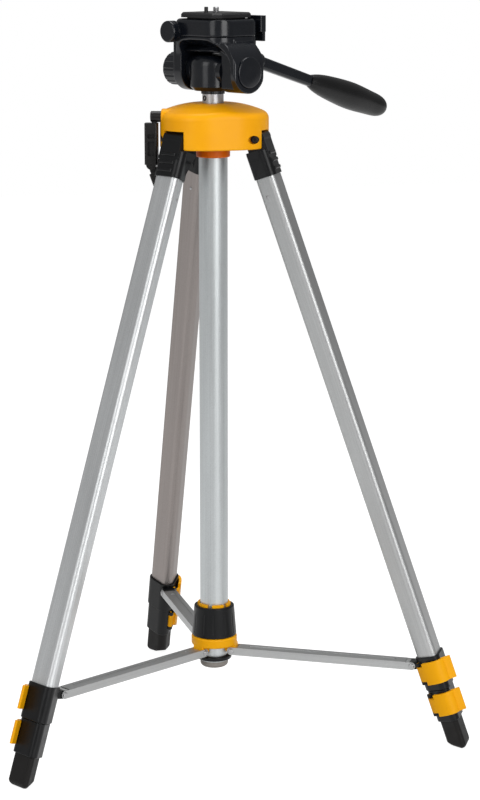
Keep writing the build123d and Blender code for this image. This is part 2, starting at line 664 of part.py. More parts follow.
def shaft_place(shape):
    # Shaft frame: +X along the shaft away from the column, origin beside the column at the rack's pitch line
    side = Rot(0, 0, RACK_AZIMUTH) * Pos(SHAFT_OFFSET, 0, SHAFT_HEIGHT)
    return side * Rot(0, 0, SHAFT_AZIMUTH - RACK_AZIMUTH) * shape


def crown_outline(shrink):
    lobes = []
    for azimuth in LEG_AZIMUTHS.values():
        turn = radians(azimuth)
        lobes.append((CROWN_LOBE_OFFSET * cos(turn), CROWN_LOBE_OFFSET * sin(turn), CROWN_LOBE_RADIUS - shrink))
    return hull_of(lobes)


def crown_dome(shrink):
    # The lobed outline under a shallow dome, with the edge between them rounded
    reach = CROWN_LOBE_OFFSET + CROWN_LOBE_RADIUS - shrink + 1
    top = CROWN_TOP - shrink
    eaves = top - CROWN_EAVES_DROP
    low = CROWN_BOTTOM - shrink
    brow_mid = (CROWN_TOP_RADIUS + CROWN_BROW_RUN, top - CROWN_BROW_DROP)
    profile = make_face([
        Line((reach, low), (reach, eaves)),
        ThreePointArc((reach, eaves), brow_mid, (CROWN_TOP_RADIUS, top)),
        Line((CROWN_TOP_RADIUS, top), (0, top)),
        Line((0, top), (0, low)),
        Line((0, low), (reach, low)),
    ])
    body = revolve(Plane.XZ * profile, Axis.Z) & prism(crown_outline(shrink), low, top + 1)
    rim = [edge for edge in body.edges() if eaves - 2 < edge.center().Z < top - 2]
    return fillet(rim, CROWN_ROUND - shrink)


def slot_block(azimuth, grow):
    half = SLOT_WIDTH / 2 + grow
    reach = CROWN_LOBE_OFFSET + CROWN_LOBE_RADIUS + 5
    return at_azimuth(azimuth, block(SLOT_INNER - grow, reach, -half, half, CROWN_BOTTOM - 10, SLOT_TOP + grow))


def crown_housing():
    bulge_radius = SHAFT_RADIUS + SHAFT_BOSS_WALL
    wall_at = CROWN_LOBE_RADIUS + CROWN_LOBE_OFFSET / 2 - 1.0
    bulge = shaft_place(along_x(cylinder(bulge_radius, 0, wall_at)))
    bulge = fillet(bulge.edges().sort_by(SortBy.LENGTH)[-2:], 1.5)
    shell = fillet(crown_dome(0).faces().sort_by(Axis.Z)[0].edges(), CROWN_EDGE)
    cavity = crown_dome(CROWN_WALL)
    boss = cylinder(BOSS_RADIUS, CROWN_BOTTOM, CROWN_TOP)
    keep = boss + shaft_place(along_x(cylinder(bulge_radius, -SHAFT_TAIL - SHAFT_BOSS_WALL, wall_at)))
    for azimuth in LEG_AZIMUTHS.values():
        keep += slot_block(azimuth, CROWN_WALL)
    lock_boss = cylinder(LOCK_STUD_RADIUS + SHAFT_BOSS_WALL, 0, CROWN_LOBE_RADIUS + CROWN_LOBE_OFFSET / 2 - 1)
    keep += at_azimuth(LOCK_AZIMUTH, Pos(0, 0, LOCK_HEIGHT) * along_x(lock_boss))
    shell = shell - (cavity - keep)
    shell += bulge
    collar_ring = cylinder(COLLAR_RING_RADIUS, COLLAR_RING_BOTTOM, CROWN_BOTTOM + CROWN_WALL)
    shell += fillet(collar_ring.faces().sort_by(Axis.Z)[0].edges(), 1.0)
    for azimuth in LEG_AZIMUTHS.values():
        shell -= slot_block(azimuth, 0)
        head_start = SLOT_WIDTH / 2 + CROWN_WALL
        pin_hole = along_y(cylinder(HINGE_PIN_RADIUS, -head_start, head_start))
        head_room = along_y(cylinder(HINGE_PIN_HEAD + SEAT_GAP, -CROWN_LOBE_RADIUS, -head_start))
        shell -= at_azimuth(azimuth, Pos(HINGE_RADIUS, 0, HINGE_HEIGHT) * (pin_hole + head_room))
    shell -= cylinder(GUIDE_RADIUS + SEAT_GAP / 2, COLLAR_RING_BOTTOM, GUIDE_TOP + BUSH_FLANGE)
    shell -= cylinder(COLUMN_RADIUS + TURN_GAP, COLLAR_RING_BOTTOM, CROWN_TOP)
    key = RACK_PITCH_RADIUS + TOOTH_ADDENDUM + SLIDE_GAP
    half_key = RACK_WIDTH / 2 + SLIDE_GAP
    shell -= at_azimuth(RACK_AZIMUTH, block(0, key, -half_key, half_key, GUIDE_TOP, CROWN_TOP))
    tip = GEAR_MODULE * PINION_TEETH / 2 + TOOTH_ADDENDUM
    shell -= shaft_place(along_x(cylinder(tip + SLIDE_GAP, -PINION_FACE / 2 - TURN_GAP, PINION_FACE / 2 + TURN_GAP)))
    shell -= shaft_place(along_x(cylinder(SHAFT_RADIUS + RUN_GAP, -SHAFT_TAIL - TURN_GAP, SHAFT_END)))
    lock_hole = along_x(cylinder(LOCK_STUD_RADIUS + RUN_GAP, 0, LOCK_KNOB_END))
    shell -= at_azimuth(LOCK_AZIMUTH, Pos(0, 0, LOCK_HEIGHT) * lock_hole)
    return shell


def leg_hinge_pins():
    pins = None
    inner = SLOT_WIDTH / 2 - HINGE_PIN_BITE + TURN_GAP
    head = SLOT_WIDTH / 2 + CROWN_WALL
    for azimuth in LEG_AZIMUTHS.values():
        blind = cylinder(HINGE_PIN_RADIUS, inner, head)
        headed = cylinder(HINGE_PIN_RADIUS, -head, -inner) + cylinder(HINGE_PIN_HEAD, -head - HINGE_PIN_HEAD_THICK, -head)
        for pin in (blind, headed):
            pin = at_azimuth(azimuth, Pos(HINGE_RADIUS, 0, HINGE_HEIGHT) * along_y(pin))
            pins = pin if pins is None else pins + pin
    return pins


def column_bush():
    top = GUIDE_TOP
    bush = cylinder(GUIDE_RADIUS - GUIDE_WALL, top - BUSH_HEIGHT, top)
    bush += cylinder(GUIDE_RADIUS, top, top + BUSH_FLANGE)
    bush -= cylinder(COLUMN_RADIUS + TURN_GAP, top - BUSH_HEIGHT, top + BUSH_FLANGE)
    half_key = RACK_WIDTH / 2 + SLIDE_GAP
    return bush - at_azimuth(RACK_AZIMUTH, block(0, GUIDE_RADIUS, -half_key, half_key, top - BUSH_HEIGHT, top + BUSH_FLANGE))


# Column pieces
def rack_profile():
    pitch = pi * GEAR_MODULE
    lean = tan(radians(PRESSURE_ANGLE))
    root = RACK_PITCH_RADIUS - TOOTH_DEDENDUM
    tip = RACK_PITCH_RADIUS + TOOTH_ADDENDUM
    half_root = pitch / 4 + TOOTH_DEDENDUM * lean - TOOTH_BACKLASH / 4
    half_tip = pitch / 4 - TOOTH_ADDENDUM * lean - TOOTH_BACKLASH / 4
    back = COLUMN_RADIUS - COLUMN_WALL + 0.3
    count_up = int((RACK_TOP - SHAFT_HEIGHT) / pitch)
    count_down = int(COLUMN_TRAVEL / pitch) + 5
    points = [(back, SHAFT_HEIGHT - (count_down + 0.5) * pitch)]
    for index in range(-count_down, count_up + 1):
        middle = SHAFT_HEIGHT + index * pitch
        points += [(root, middle - half_root), (tip, middle - half_tip), (tip, middle + half_tip), (root, middle + half_root)]
    points.append((back, SHAFT_HEIGHT + (count_up + 0.5) * pitch))
    return Polyline(points, close=True)


def column_tube():
    tube = cylinder(COLUMN_RADIUS, COLUMN_BOTTOM, COLUMN_TOP)
    rack = prism_y(make_face(rack_profile()), -RACK_WIDTH / 2, RACK_WIDTH / 2)
    tube += at_azimuth(RACK_AZIMUTH, rack)
    return tube - cylinder(COLUMN_RADIUS - COLUMN_WALL, COLUMN_BOTTOM, COLUMN_TOP)


def column_guide_plug():
    bore = COLUMN_RADIUS - COLUMN_WALL - SEAT_GAP
    plug = cylinder(GUIDE_RADIUS - GUIDE_WALL - TURN_GAP, COLUMN_BOTTOM - PLUG_HEIGHT, COLUMN_BOTTOM)
    plug += cylinder(bore, COLUMN_BOTTOM, COLUMN_BOTTOM + PLUG_HEIGHT)
    return plug - cylinder(bore - 2.0, COLUMN_BOTTOM - PLUG_HEIGHT, COLUMN_BOTTOM + PLUG_HEIGHT)


def pan_base():
    flange = cylinder(PAN_FLANGE_RADIUS, COLUMN_TOP, COLUMN_TOP + PAN_FLANGE_HEIGHT)
    for index in range(PAN_RIBS):
        notch = Pos(PAN_FLANGE_RADIUS + 0.3, 0) * cylinder(0.7, COLUMN_TOP, COLUMN_TOP + PAN_FLANGE_HEIGHT)
        flange -= at_azimuth(index * 360 / PAN_RIBS, notch)
    plug = cylinder(COLUMN_RADIUS - COLUMN_WALL - SEAT_GAP, COLUMN_TOP - PLUG_HEIGHT, COLUMN_TOP)
    spigot = cylinder(PAN_SPIGOT_RADIUS, COLUMN_TOP, COLUMN_TOP + PAN_FLANGE_HEIGHT + PAN_SPIGOT_HEIGHT)
    return flange + plug + spigot


# Crank pieces
def pinion_profile():
    pitch_radius = GEAR_MODULE * PINION_TEETH / 2
    base = pitch_radius * cos(radians(PRESSURE_ANGLE))
    tip = pitch_radius + TOOTH_ADDENDUM
    root = pitch_radius - TOOTH_DEDENDUM
    half_angle = pi / 2 / PINION_TEETH - TOOTH_BACKLASH / 4 / pitch_radius
    lead = tan(radians(PRESSURE_ANGLE)) - radians(PRESSURE_ANGLE)

    def flank(radius):
        press = acos(min(1.0, base / radius))
        return half_angle + lead - (tan(press) - press)

    def point(radius, angle):
        return (radius * cos(angle), radius * sin(angle))

    radii = [max(base, root), (max(base, root) + pitch_radius) / 2, pitch_radius, (pitch_radius + tip) / 2, tip]
    points = []
    for tooth in range(PINION_TEETH):
        middle = (tooth + 0.5) * 2 * pi / PINION_TEETH
        points.append(point(root, middle - flank(radii[0]) - 0.01))
        points += [point(radius, middle - flank(radius)) for radius in radii]
        points += [point(radius, middle + flank(radius)) for radius in reversed(radii)]
        points.append(point(root, middle + flank(radii[0]) + 0.01))
    return make_face(Polyline(points, close=True))


def crank_shaft():
    # The pinion's first gap faces the rack
    teeth = Pos(0, 0, -PINION_FACE / 2) * extrude(Rot(0, 0, 180) * pinion_profile(), PINION_FACE)
    teeth = Rot(0, 90, 0) * Rot(0, 0, 90) * teeth
    shaft = along_x(cylinder(SHAFT_RADIUS, -SHAFT_TAIL, SHAFT_END))
    shaft = fillet(shaft.faces().sort_by(Axis.X)[-1].edges(), 1.2)
    tang = block(SHAFT_END - TANG_THICK - TANG_INSET, SHAFT_END - TANG_INSET,
                 -TANG_WIDTH / 2, TANG_WIDTH / 2, -TANG_DROP, 0)
    return shaft_place(shaft + teeth + tang)


ARM_MIDDLE = SHAFT_END - ARM_OFFSET
GRIP_HINGE_DROP = ARM_BOTTOM_DROP


def crank_arm():
    inner = ARM_MIDDLE - ARM_THICK / 2
    outer = ARM_MIDDLE + ARM_THICK / 2
    arm = block(inner, outer, -ARM_WIDTH / 2, ARM_WIDTH / 2, -ARM_BOTTOM_DROP, -ARM_TOP_DROP)
    arm = fillet(arm.edges().filter_by(Axis.Z), 2.0)
    fork = along_y(cylinder(GRIP_HINGE_RADIUS, -ARM_WIDTH / 2, ARM_WIDTH / 2))
    arm += Pos(ARM_MIDDLE, 0, -GRIP_HINGE_DROP) * fork
    for z0, z1 in ((-ARM_BOTTOM_DROP + 9.0, -ARM_BOTTOM_DROP + 24.0), (-ARM_BOTTOM_DROP + 27.0, -TANG_DROP - 2.5)):
        for side in (-1, 1):
            ends = sorted((side * (ARM_WIDTH / 2 - ARM_POCKET_DEPTH), side * ARM_WIDTH))
            arm -= block(ARM_MIDDLE - ARM_THICK / 4, ARM_MIDDLE + ARM_THICK / 4, ends[0], ends[1], z0, z1)
    arm -= block(SHAFT_END - TANG_THICK - TANG_INSET, SHAFT_END - TANG_INSET,
                 -TANG_WIDTH / 2, TANG_WIDTH / 2, -TANG_DROP, 0)
    room = GRIP_HINGE_RADIUS + TURN_GAP
    half_grip = GRIP_WIDTH / 4 + TURN_GAP
    arm -= block(inner - room, outer + room, -half_grip, half_grip, -GRIP_HINGE_DROP - room, -GRIP_HINGE_DROP + room)
    hole = along_y(cylinder(GRIP_PIN_RADIUS + RUN_GAP, -ARM_WIDTH, ARM_WIDTH))
    return shaft_place(arm - Pos(ARM_MIDDLE, 0, -GRIP_HINGE_DROP) * hole)


def crank_grip():
    # Drawn hanging from its hinge, then leaned towards the column
    knuckle = along_y(cylinder(GRIP_HINGE_RADIUS, -GRIP_WIDTH / 4, GRIP_WIDTH / 4))
    start = GRIP_HINGE_RADIUS + 2 * TURN_GAP + ARM_THICK / 4
    neck = block(-GRIP_THICK / 3, GRIP_THICK / 3, -GRIP_WIDTH / 4, GRIP_WIDTH / 4, -start - 1.0, 0)
    bar = block(-GRIP_THICK / 2, GRIP_THICK / 2, -GRIP_WIDTH / 2, GRIP_WIDTH / 2, -GRIP_LENGTH, -start)
    bar = fillet(bar.edges().filter_by(Axis.Z) + bar.faces().sort_by(Axis.Z)[0].edges(), 2.0)
    pin = along_y(cylinder(GRIP_PIN_RADIUS, -ARM_WIDTH / 2, ARM_WIDTH / 2))
    grip = knuckle + neck + bar + pin
    return shaft_place(Pos(ARM_MIDDLE, 0, -GRIP_HINGE_DROP) * Rot(0, GRIP_LEAN, 0) * grip)


def column_lock_knob():
    knob = cylinder(LOCK_KNOB_RADIUS, LOCK_KNOB_START, LOCK_KNOB_END)
    knob = fillet(knob.edges(), 1.2)
    for index in range(LOCK_LOBES):
        flute = Pos(LOCK_KNOB_RADIUS + 1.0, 0) * cylinder(1.8, LOCK_KNOB_START, LOCK_KNOB_END)
        knob -= at_azimuth(index * 360 / LOCK_LOBES, flute)
    stud = cylinder(LOCK_STUD_RADIUS, COLUMN_RADIUS + TURN_GAP, LOCK_KNOB_START)
    return at_azimuth(LOCK_AZIMUTH, Pos(0, 0, LOCK_HEIGHT) * along_x(knob + stud))


# Head pieces: +X along the tilt axle, +Y towards the pan handle
def head_place(shape):
    return at_azimuth(HEAD_AZIMUTH, shape)


POST_BOTTOM = COLUMN_TOP + PAN_FLANGE_HEIGHT
TILT_HEIGHT = POST_BOTTOM + TILT_RISE
SEAM_HEIGHT = TILT_HEIGHT + SEAM_RISE
PLATFORM_TOP = SEAM_HEIGHT + PLATFORM_HEIGHT
PLATE_BOTTOM = PLATFORM_TOP + PLATE_LIFT
PLATE_TOP = PLATE_BOTTOM + PLATE_THICK
PLATFORM_FRONT = TOP_SHIFT - YOKE_TOP_DEPTH / 2
PLATFORM_BACK = TOP_SHIFT + YOKE_TOP_DEPTH / 2
FLIP_X = -YOKE_TOP_WIDTH / 2 + FLIP_AXIS_INSET
FLIP_Z = SEAM_HEIGHT + FLIP_AXIS_RISE


def neck_post():
    post = cylinder(POST_RADIUS, POST_BOTTOM + POST_FOOT_HEIGHT, POST_BOTTOM + POST_TOP_HEIGHT)
    post = fillet(post.faces().sort_by(Axis.Z)[-1].edges(), POST_TOP_FILLET)
    foot = loft([Pos(0, 0, POST_BOTTOM) * Circle(POST_FOOT_RADIUS),
                 Pos(0, 0, POST_BOTTOM + POST_FOOT_HEIGHT) * Circle(POST_RADIUS)])
    barrel = along_x(cylinder(BARREL_RADIUS, -YOKE_INNER + TURN_GAP, YOKE_INNER - TURN_GAP))
    post = post + foot + Pos(0, 0, TILT_HEIGHT) * barrel
    post -= cylinder(PAN_SPIGOT_RADIUS + RUN_GAP, POST_BOTTOM, POST_BOTTOM + PAN_SPIGOT_HEIGHT + TURN_GAP)
    return head_place(post - Pos(0, 0, TILT_HEIGHT) * along_x(cylinder(AXLE_RADIUS + RUN_GAP, -YOKE_INNER, YOKE_INNER)))


def cheek_recess():
    # Both walls of the drum side are cut back under a lip that follows the haunch
    low = TILT_HEIGHT - 2 * DRUM_RADIUS
    edge = YOKE_RIGHT - LIP_WIDTH
    ceiling = TILT_HEIGHT + LIP_RISE
    region = make_face([
        Line((0, low), (edge, low)),
        Line((edge, low), (edge, TILT_HEIGHT + 3.0)),
        ThreePointArc((edge, TILT_HEIGHT + 3.0), (edge - 12.0, ceiling - 6.5), (LIP_START, ceiling)),
        Line((LIP_START, ceiling), (0, ceiling)),
        Line((0, ceiling), (0, low)),
    ])
    inner = offset(region, -LIP_DEPTH)
    cut = None
    for side in (-1, 1):
        outside = Plane.XZ.offset(-side * (DRUM_RADIUS + LIP_DEPTH)) * region
        inside = Plane.XZ.offset(-side * (DRUM_RADIUS - LIP_DEPTH)) * inner
        pocket = loft([outside, inside])
        cut = pocket if cut is None else cut + pocket
    return cut


def yoke():
    low = TILT_HEIGHT - DRUM_RADIUS
    arch = TILT_HEIGHT + ARCH_RISE
    half_top = YOKE_TOP_WIDTH / 2
    spring = TILT_HEIGHT + BARREL_RADIUS + 1.0
    flat = YOKE_INNER - ARCH_RUN
    haunch = (half_top + 1.0, arch + 5.0)
    drum_edge = (YOKE_RIGHT, TILT_HEIGHT + 9.0)
    outline = [
        Line((-YOKE_INNER, low), (-YOKE_LEFT, low)),
        Line((-YOKE_LEFT, low), (-YOKE_LEFT, arch)),
        Line((-YOKE_LEFT, arch), (-half_top, SEAM_HEIGHT)),
        Line((-half_top, SEAM_HEIGHT), (half_top, SEAM_HEIGHT)),
        Line((half_top, SEAM_HEIGHT), haunch),
        ThreePointArc(haunch, (YOKE_RIGHT - 6.6, TILT_HEIGHT + 21.0), drum_edge),
        Line(drum_edge, (YOKE_RIGHT, low)),
        Line((YOKE_RIGHT, low), (YOKE_INNER, low)),
        Line((YOKE_INNER, low), (YOKE_INNER, spring)),
        ThreePointArc((YOKE_INNER, spring), (YOKE_INNER - ARCH_RUN * 0.3, arch - 4.4), (flat, arch)),
        Line((flat, arch), (-YOKE_INNER, arch)),
        Line((-YOKE_INNER, arch), (-YOKE_INNER, low)),
    ]
    depth = YOKE_TOP_DEPTH / 2
    flare = TILT_HEIGHT + YOKE_FLARE_RISE
    front = (PLATFORM_FRONT, SEAM_HEIGHT - 2.0)
    back = (PLATFORM_BACK, SEAM_HEIGHT - 2.0)
    side = [
        ThreePointArc((-DRUM_RADIUS, TILT_HEIGHT), (0, low), (DRUM_RADIUS, TILT_HEIGHT)),
        Line((DRUM_RADIUS, TILT_HEIGHT), (DRUM_RADIUS, flare)),
        Spline((DRUM_RADIUS, flare), back, tangents=((0, 1), (0, 1))),
        Line(back, (PLATFORM_BACK, SEAM_HEIGHT)),
        Line((PLATFORM_BACK, SEAM_HEIGHT), (PLATFORM_FRONT, SEAM_HEIGHT)),
        Line((PLATFORM_FRONT, SEAM_HEIGHT), front),
        Spline(front, (-DRUM_RADIUS, flare), tangents=((0, -1), (0, -1))),
        Line((-DRUM_RADIUS, flare), (-DRUM_RADIUS, TILT_HEIGHT)),
    ]
    body = prism_y(make_face(outline), -2 * depth, 2 * depth) & prism_x(make_face(side), -YOKE_LEFT, YOKE_RIGHT)
    plan = Pos(0, TOP_SHIFT) * RectangleRounded(YOKE_TOP_WIDTH, YOKE_TOP_DEPTH, PLATFORM_CORNER)
    plan += Pos((YOKE_RIGHT - YOKE_LEFT) / 2, 0) * RectangleRounded(YOKE_LEFT + YOKE_RIGHT, 2 * DRUM_RADIUS, YOKE_CORNER)
    body = (body & prism(plan, low, SEAM_HEIGHT)) - cheek_recess()
    root = handle_place(along_y(cylinder(HANDLE_ROOT_RADIUS, -14.0, 0)))
    body += root & block(YOKE_INNER + 2.0, YOKE_RIGHT - 1.0, 0, 2 * depth, low, SEAM_HEIGHT)
    disc = cylinder(CAP_RADIUS, YOKE_RIGHT - 1.0, YOKE_RIGHT + CAP_PROUD)
    disc = fillet(disc.faces().sort_by(Axis.Z)[-1].edges(), CAP_PROUD * 0.8)
    body += Pos(0, 0, TILT_HEIGHT) * along_x(disc)
    axle = along_x(cylinder(AXLE_RADIUS + RUN_GAP, -YOKE_LEFT, AXLE_REACH + TURN_GAP))
    body -= Pos(0, 0, TILT_HEIGHT) * axle
    body -= handle_place(along_y(cylinder(ROD_WIDTH / 2 - 1.0 + RUN_GAP, -12.0, 1.0)))
    body -= handle_place(along_y(cylinder(HANDLE_ROOT_RADIUS + TURN_GAP, 0, 2 * depth)))
    return head_place(body)


def handle_place(shape):
    # Handle frame: +Y along the rod, away from the head
    return Pos(HANDLE_SIDE, HANDLE_BACK, TILT_HEIGHT + HANDLE_RISE) * Rot(-HANDLE_SLOPE, 0, 0) * shape


def handle_rod():
    boss = along_y(cylinder(HANDLE_ROOT_RADIUS, TURN_GAP, 8.0))
    boss = fillet(boss.faces().sort_by(Axis.Y)[-1].edges(), 2.0)
    root = Plane.XZ.offset(-TURN_GAP - 0.5) * RectangleRounded(ROD_WIDTH, ROD_ROOT_HEIGHT, 3.0)
    bar = loft([root, Plane.XZ.offset(-ROD_LENGTH) * RectangleRounded(ROD_WIDTH, ROD_HEIGHT, 3.0)])
    stub = along_y(cylinder(ROD_WIDTH / 2 - 1.0, -11.0, 2.0))
    core = along_y(cylinder(ROD_WIDTH / 2 - 1.0, ROD_LENGTH - 1.0, ROD_LENGTH + 50.0))
    return head_place(handle_place(boss + bar + stub + core))


def handle_grip():
    # A swelling bar that starts flush with the rod and ends blunt
    radius = GRIP_BAR_RADIUS
    end = GRIP_BAR_LENGTH
    throat = ROD_HEIGHT / 2 + 0.2
    swell = Spline((throat, 0), (radius * 0.9, end * 0.31), (radius, end * 0.55), (radius * 0.88, end * 0.8), (0, end),
                   tangents=((0.4, 1), (-1, 0)))
    face = make_face([Line((0, 0), (throat, 0)), swell, Line((0, end), (0, 0))])
    grip = revolve(face, Axis.Y)
    grip -= along_y(cylinder(ROD_WIDTH / 2 - 1.0, -1.0, 50.0))
    return head_place(handle_place(Pos(0, ROD_LENGTH, 0) * grip))


def fluted(radius, length, flutes, depth):
    knob = cylinder(radius, 0, length)
    knob = fillet(knob.faces().sort_by(Axis.Z)[-1].edges(), 1.5)
    for index in range(flutes):
        flute = Pos(radius + 2.0 - depth, 0) * cylinder(2.0, 3.0, length)
        knob -= at_azimuth(index * 360 / flutes, flute)
    return knob


def tilt_knob():
    knob = Pos(-YOKE_LEFT - TURN_GAP, 0, 0) * Rot(0, -90, 0) * fluted(TILT_KNOB_RADIUS, TILT_KNOB_LENGTH, TILT_KNOB_FLUTES, 0.9)
    stud = along_x(cylinder(AXLE_RADIUS, -YOKE_LEFT - TURN_GAP - 1.0, AXLE_REACH))
    return head_place(Pos(0, 0, TILT_HEIGHT) * (knob + stud))


RECESS_FOOT = PLATE_FOOT + 2 * TURN_GAP


def platform():
    plan = RectangleRounded(YOKE_TOP_WIDTH, YOKE_TOP_DEPTH, PLATFORM_CORNER)
    body = prism(plan, SEAM_HEIGHT + TURN_GAP, PLATFORM_TOP)
    body = fillet(body.faces().sort_by(Axis.Z)[-1].edges(), PLATFORM_EDGE)
    body = Pos(0, TOP_SHIFT, 0) * body
    swing = FLIP_AXIS_RISE - TURN_GAP
    corner = block(-YOKE_TOP_WIDTH, FLIP_X, PLATFORM_FRONT, PLATFORM_BACK, SEAM_HEIGHT, FLIP_Z)
    round_edge = Pos(FLIP_X, 0, FLIP_Z) * along_y(cylinder(swing, PLATFORM_FRONT, PLATFORM_BACK))
    body = body - (corner - round_edge)
    body -= block(-RECESS_FOOT / 2, RECESS_FOOT / 2, TOP_SHIFT - RECESS_FOOT / 2, TOP_SHIFT + RECESS_FOOT / 2,
                  PLATFORM_TOP - PLATE_FOOT_DEPTH - TURN_GAP, PLATFORM_TOP + 1)
    pin_room = cylinder(INDEX_PIN_RADIUS + TURN_GAP, SEAM_HEIGHT + 3.0, PLATFORM_TOP)
    body -= Pos(0, TOP_SHIFT - INDEX_PIN_AHEAD, 0) * pin_room
    stud_hole = along_y(cylinder(AXLE_RADIUS * 0.7 + RUN_GAP, PLATFORM_FRONT, PLATFORM_FRONT + 12.0))
    body -= Pos(FLIP_X, 0, FLIP_Z) * stud_hole
    ears = latch_ears()
    return head_place(body + ears)


LATCH_X = 10.0
LATCH_Y = PLATFORM_BACK + LATCH_PIN_RADIUS + 3.0
LATCH_BOTTOM = SEAM_HEIGHT + 4.0


def latch_ears():
    # Two ears on the platform's back carry the latch pin
    ears = None
    for z0 in (LATCH_BOTTOM - 3.2 - TURN_GAP, LATCH_BOTTOM + LATCH_HEIGHT * 0.62 + TURN_GAP):
        profile = hull_of([(LATCH_X, LATCH_Y, LATCH_PIN_RADIUS + 1.5), (LATCH_X, PLATFORM_BACK - 3.0, LATCH_PIN_RADIUS + 1.5)])
        ear = prism(profile, z0, z0 + 3.2)
        ear -= Pos(LATCH_X, LATCH_Y) * cylinder(LATCH_PIN_RADIUS + RUN_GAP, z0, z0 + 3.2)
        ears = ear if ears is None else ears + ear
    return ears


def qr_lever():
    tall = LATCH_HEIGHT * 0.62
    barrel = Pos(LATCH_X, LATCH_Y) * cylinder(LATCH_PIN_RADIUS + 1.5, LATCH_BOTTOM, LATCH_BOTTOM + tall)
    start = LATCH_X + 4.5
    back = PLATFORM_BACK + TURN_GAP
    bar = block(start, LATCH_X + LATCH_LENGTH, back, back + LATCH_THICK, LATCH_BOTTOM, LATCH_BOTTOM + LATCH_HEIGHT)
    bar = fillet(bar.edges().filter_by(Axis.Z), 1.2)
    neck = block(LATCH_X, start + 1.0, LATCH_Y - 1.6, LATCH_Y + 1.6, LATCH_BOTTOM, LATCH_BOTTOM + tall)
    tab = block(start + 8.0, LATCH_X + LATCH_LENGTH - 1.0, back + 3.5, back + LATCH_THICK - 0.5,
                LATCH_BOTTOM - LATCH_TAB_DROP, LATCH_BOTTOM + 1.0)
    pin = Pos(LATCH_X, LATCH_Y) * cylinder(LATCH_PIN_RADIUS, LATCH_BOTTOM - 3.2, LATCH_BOTTOM + tall + 3.2)
    return head_place(barrel + bar + neck + tab + pin)


def side_knob():
    knob = cylinder(SIDE_KNOB_RADIUS, 0, SIDE_KNOB_LENGTH)
    knob = fillet(knob.faces().sort_by(Axis.Z)[-1].edges(), SIDE_KNOB_EDGE)
    groove = cylinder(SIDE_KNOB_RADIUS, 2.0, 3.2) - cylinder(SIDE_KNOB_RADIUS - 0.8, 2.0, 3.2)
    knob = Rot(90, 0, 0) * (knob - groove)
    stud = along_y(cylinder(AXLE_RADIUS * 0.7, -1.0, 11.0))
    return head_place(Pos(FLIP_X, PLATFORM_FRONT - TURN_GAP, FLIP_Z) * (knob + stud))


def qr_plate():
    slab = Pos(0, 0, PLATE_BOTTOM) * extrude(Rectangle(PLATE_WIDTH, PLATE_DEPTH), PLATE_THICK)
    slab = chamfer(slab.edges().filter_by(Axis.Z), PLATE_CHAMFER)
    slab = chamfer(slab.faces().sort_by(Axis.Z)[-1].edges(), PLATE_BEVEL)
    foot = block(-PLATE_FOOT / 2, PLATE_FOOT / 2, -PLATE_FOOT / 2, PLATE_FOOT / 2,
                 PLATFORM_TOP - PLATE_FOOT_DEPTH, PLATE_BOTTOM)
    plate = slab + foot
    plate -= cylinder(SCREW_RADIUS + SCREW_HOLE_GAP, PLATFORM_TOP - PLATE_FOOT_DEPTH, PLATE_TOP)
    head_top = PLATE_BOTTOM + 1.0
    plate -= cylinder(SCREW_HEAD_RADIUS + TURN_GAP, PLATFORM_TOP - PLATE_FOOT_DEPTH, head_top)
    plate -= Pos(0, -INDEX_PIN_AHEAD, 0) * cylinder(INDEX_PIN_RADIUS + RUN_GAP, PLATFORM_TOP - PLATE_FOOT_DEPTH, PLATE_TOP)
    return head_place(Pos(0, TOP_SHIFT, 0) * plate)


def laser_screw():
    head_top = PLATE_BOTTOM + 1.0 - SEAT_GAP
    screw = cylinder(SCREW_HEAD_RADIUS, head_top - SCREW_HEAD_THICK, head_top)
    screw += cylinder(SCREW_NECK_RADIUS, head_top, PLATE_TOP + TURN_GAP)
    screw += cylinder(SCREW_RADIUS, PLATE_TOP + TURN_GAP, PLATE_TOP + SCREW_PROUD)
    screw = chamfer(screw.faces().sort_by(Axis.Z)[-1].edges(), SCREW_CHAMFER)
    return head_place(Pos(0, TOP_SHIFT, 0) * screw)


def index_pin():
    pin = cylinder(INDEX_PIN_RADIUS, PLATFORM_TOP - PLATE_FOOT_DEPTH, PLATE_TOP + INDEX_PIN_PROUD)
    pin = fillet(pin.faces().sort_by(Axis.Z)[-1].edges(), 0.8)
    return head_place(Pos(0, TOP_SHIFT - INDEX_PIN_AHEAD, 0) * pin)


# The assembly
single_pieces = [
    crown_housing, leg_hinge_pins, guide_tube, tube_end_cap, stop_ring, column_bush,
    column_tube, column_guide_plug, pan_base, crank_shaft, crank_arm, crank_grip, column_lock_knob,
    brace_hub, spread_lock_nut, neck_post, yoke, handle_rod, handle_grip, tilt_knob, platform,
    side_knob, qr_lever, qr_plate, laser_screw, index_pin,
]
for piece in single_pieces:
    write(piece.__name__, piece())

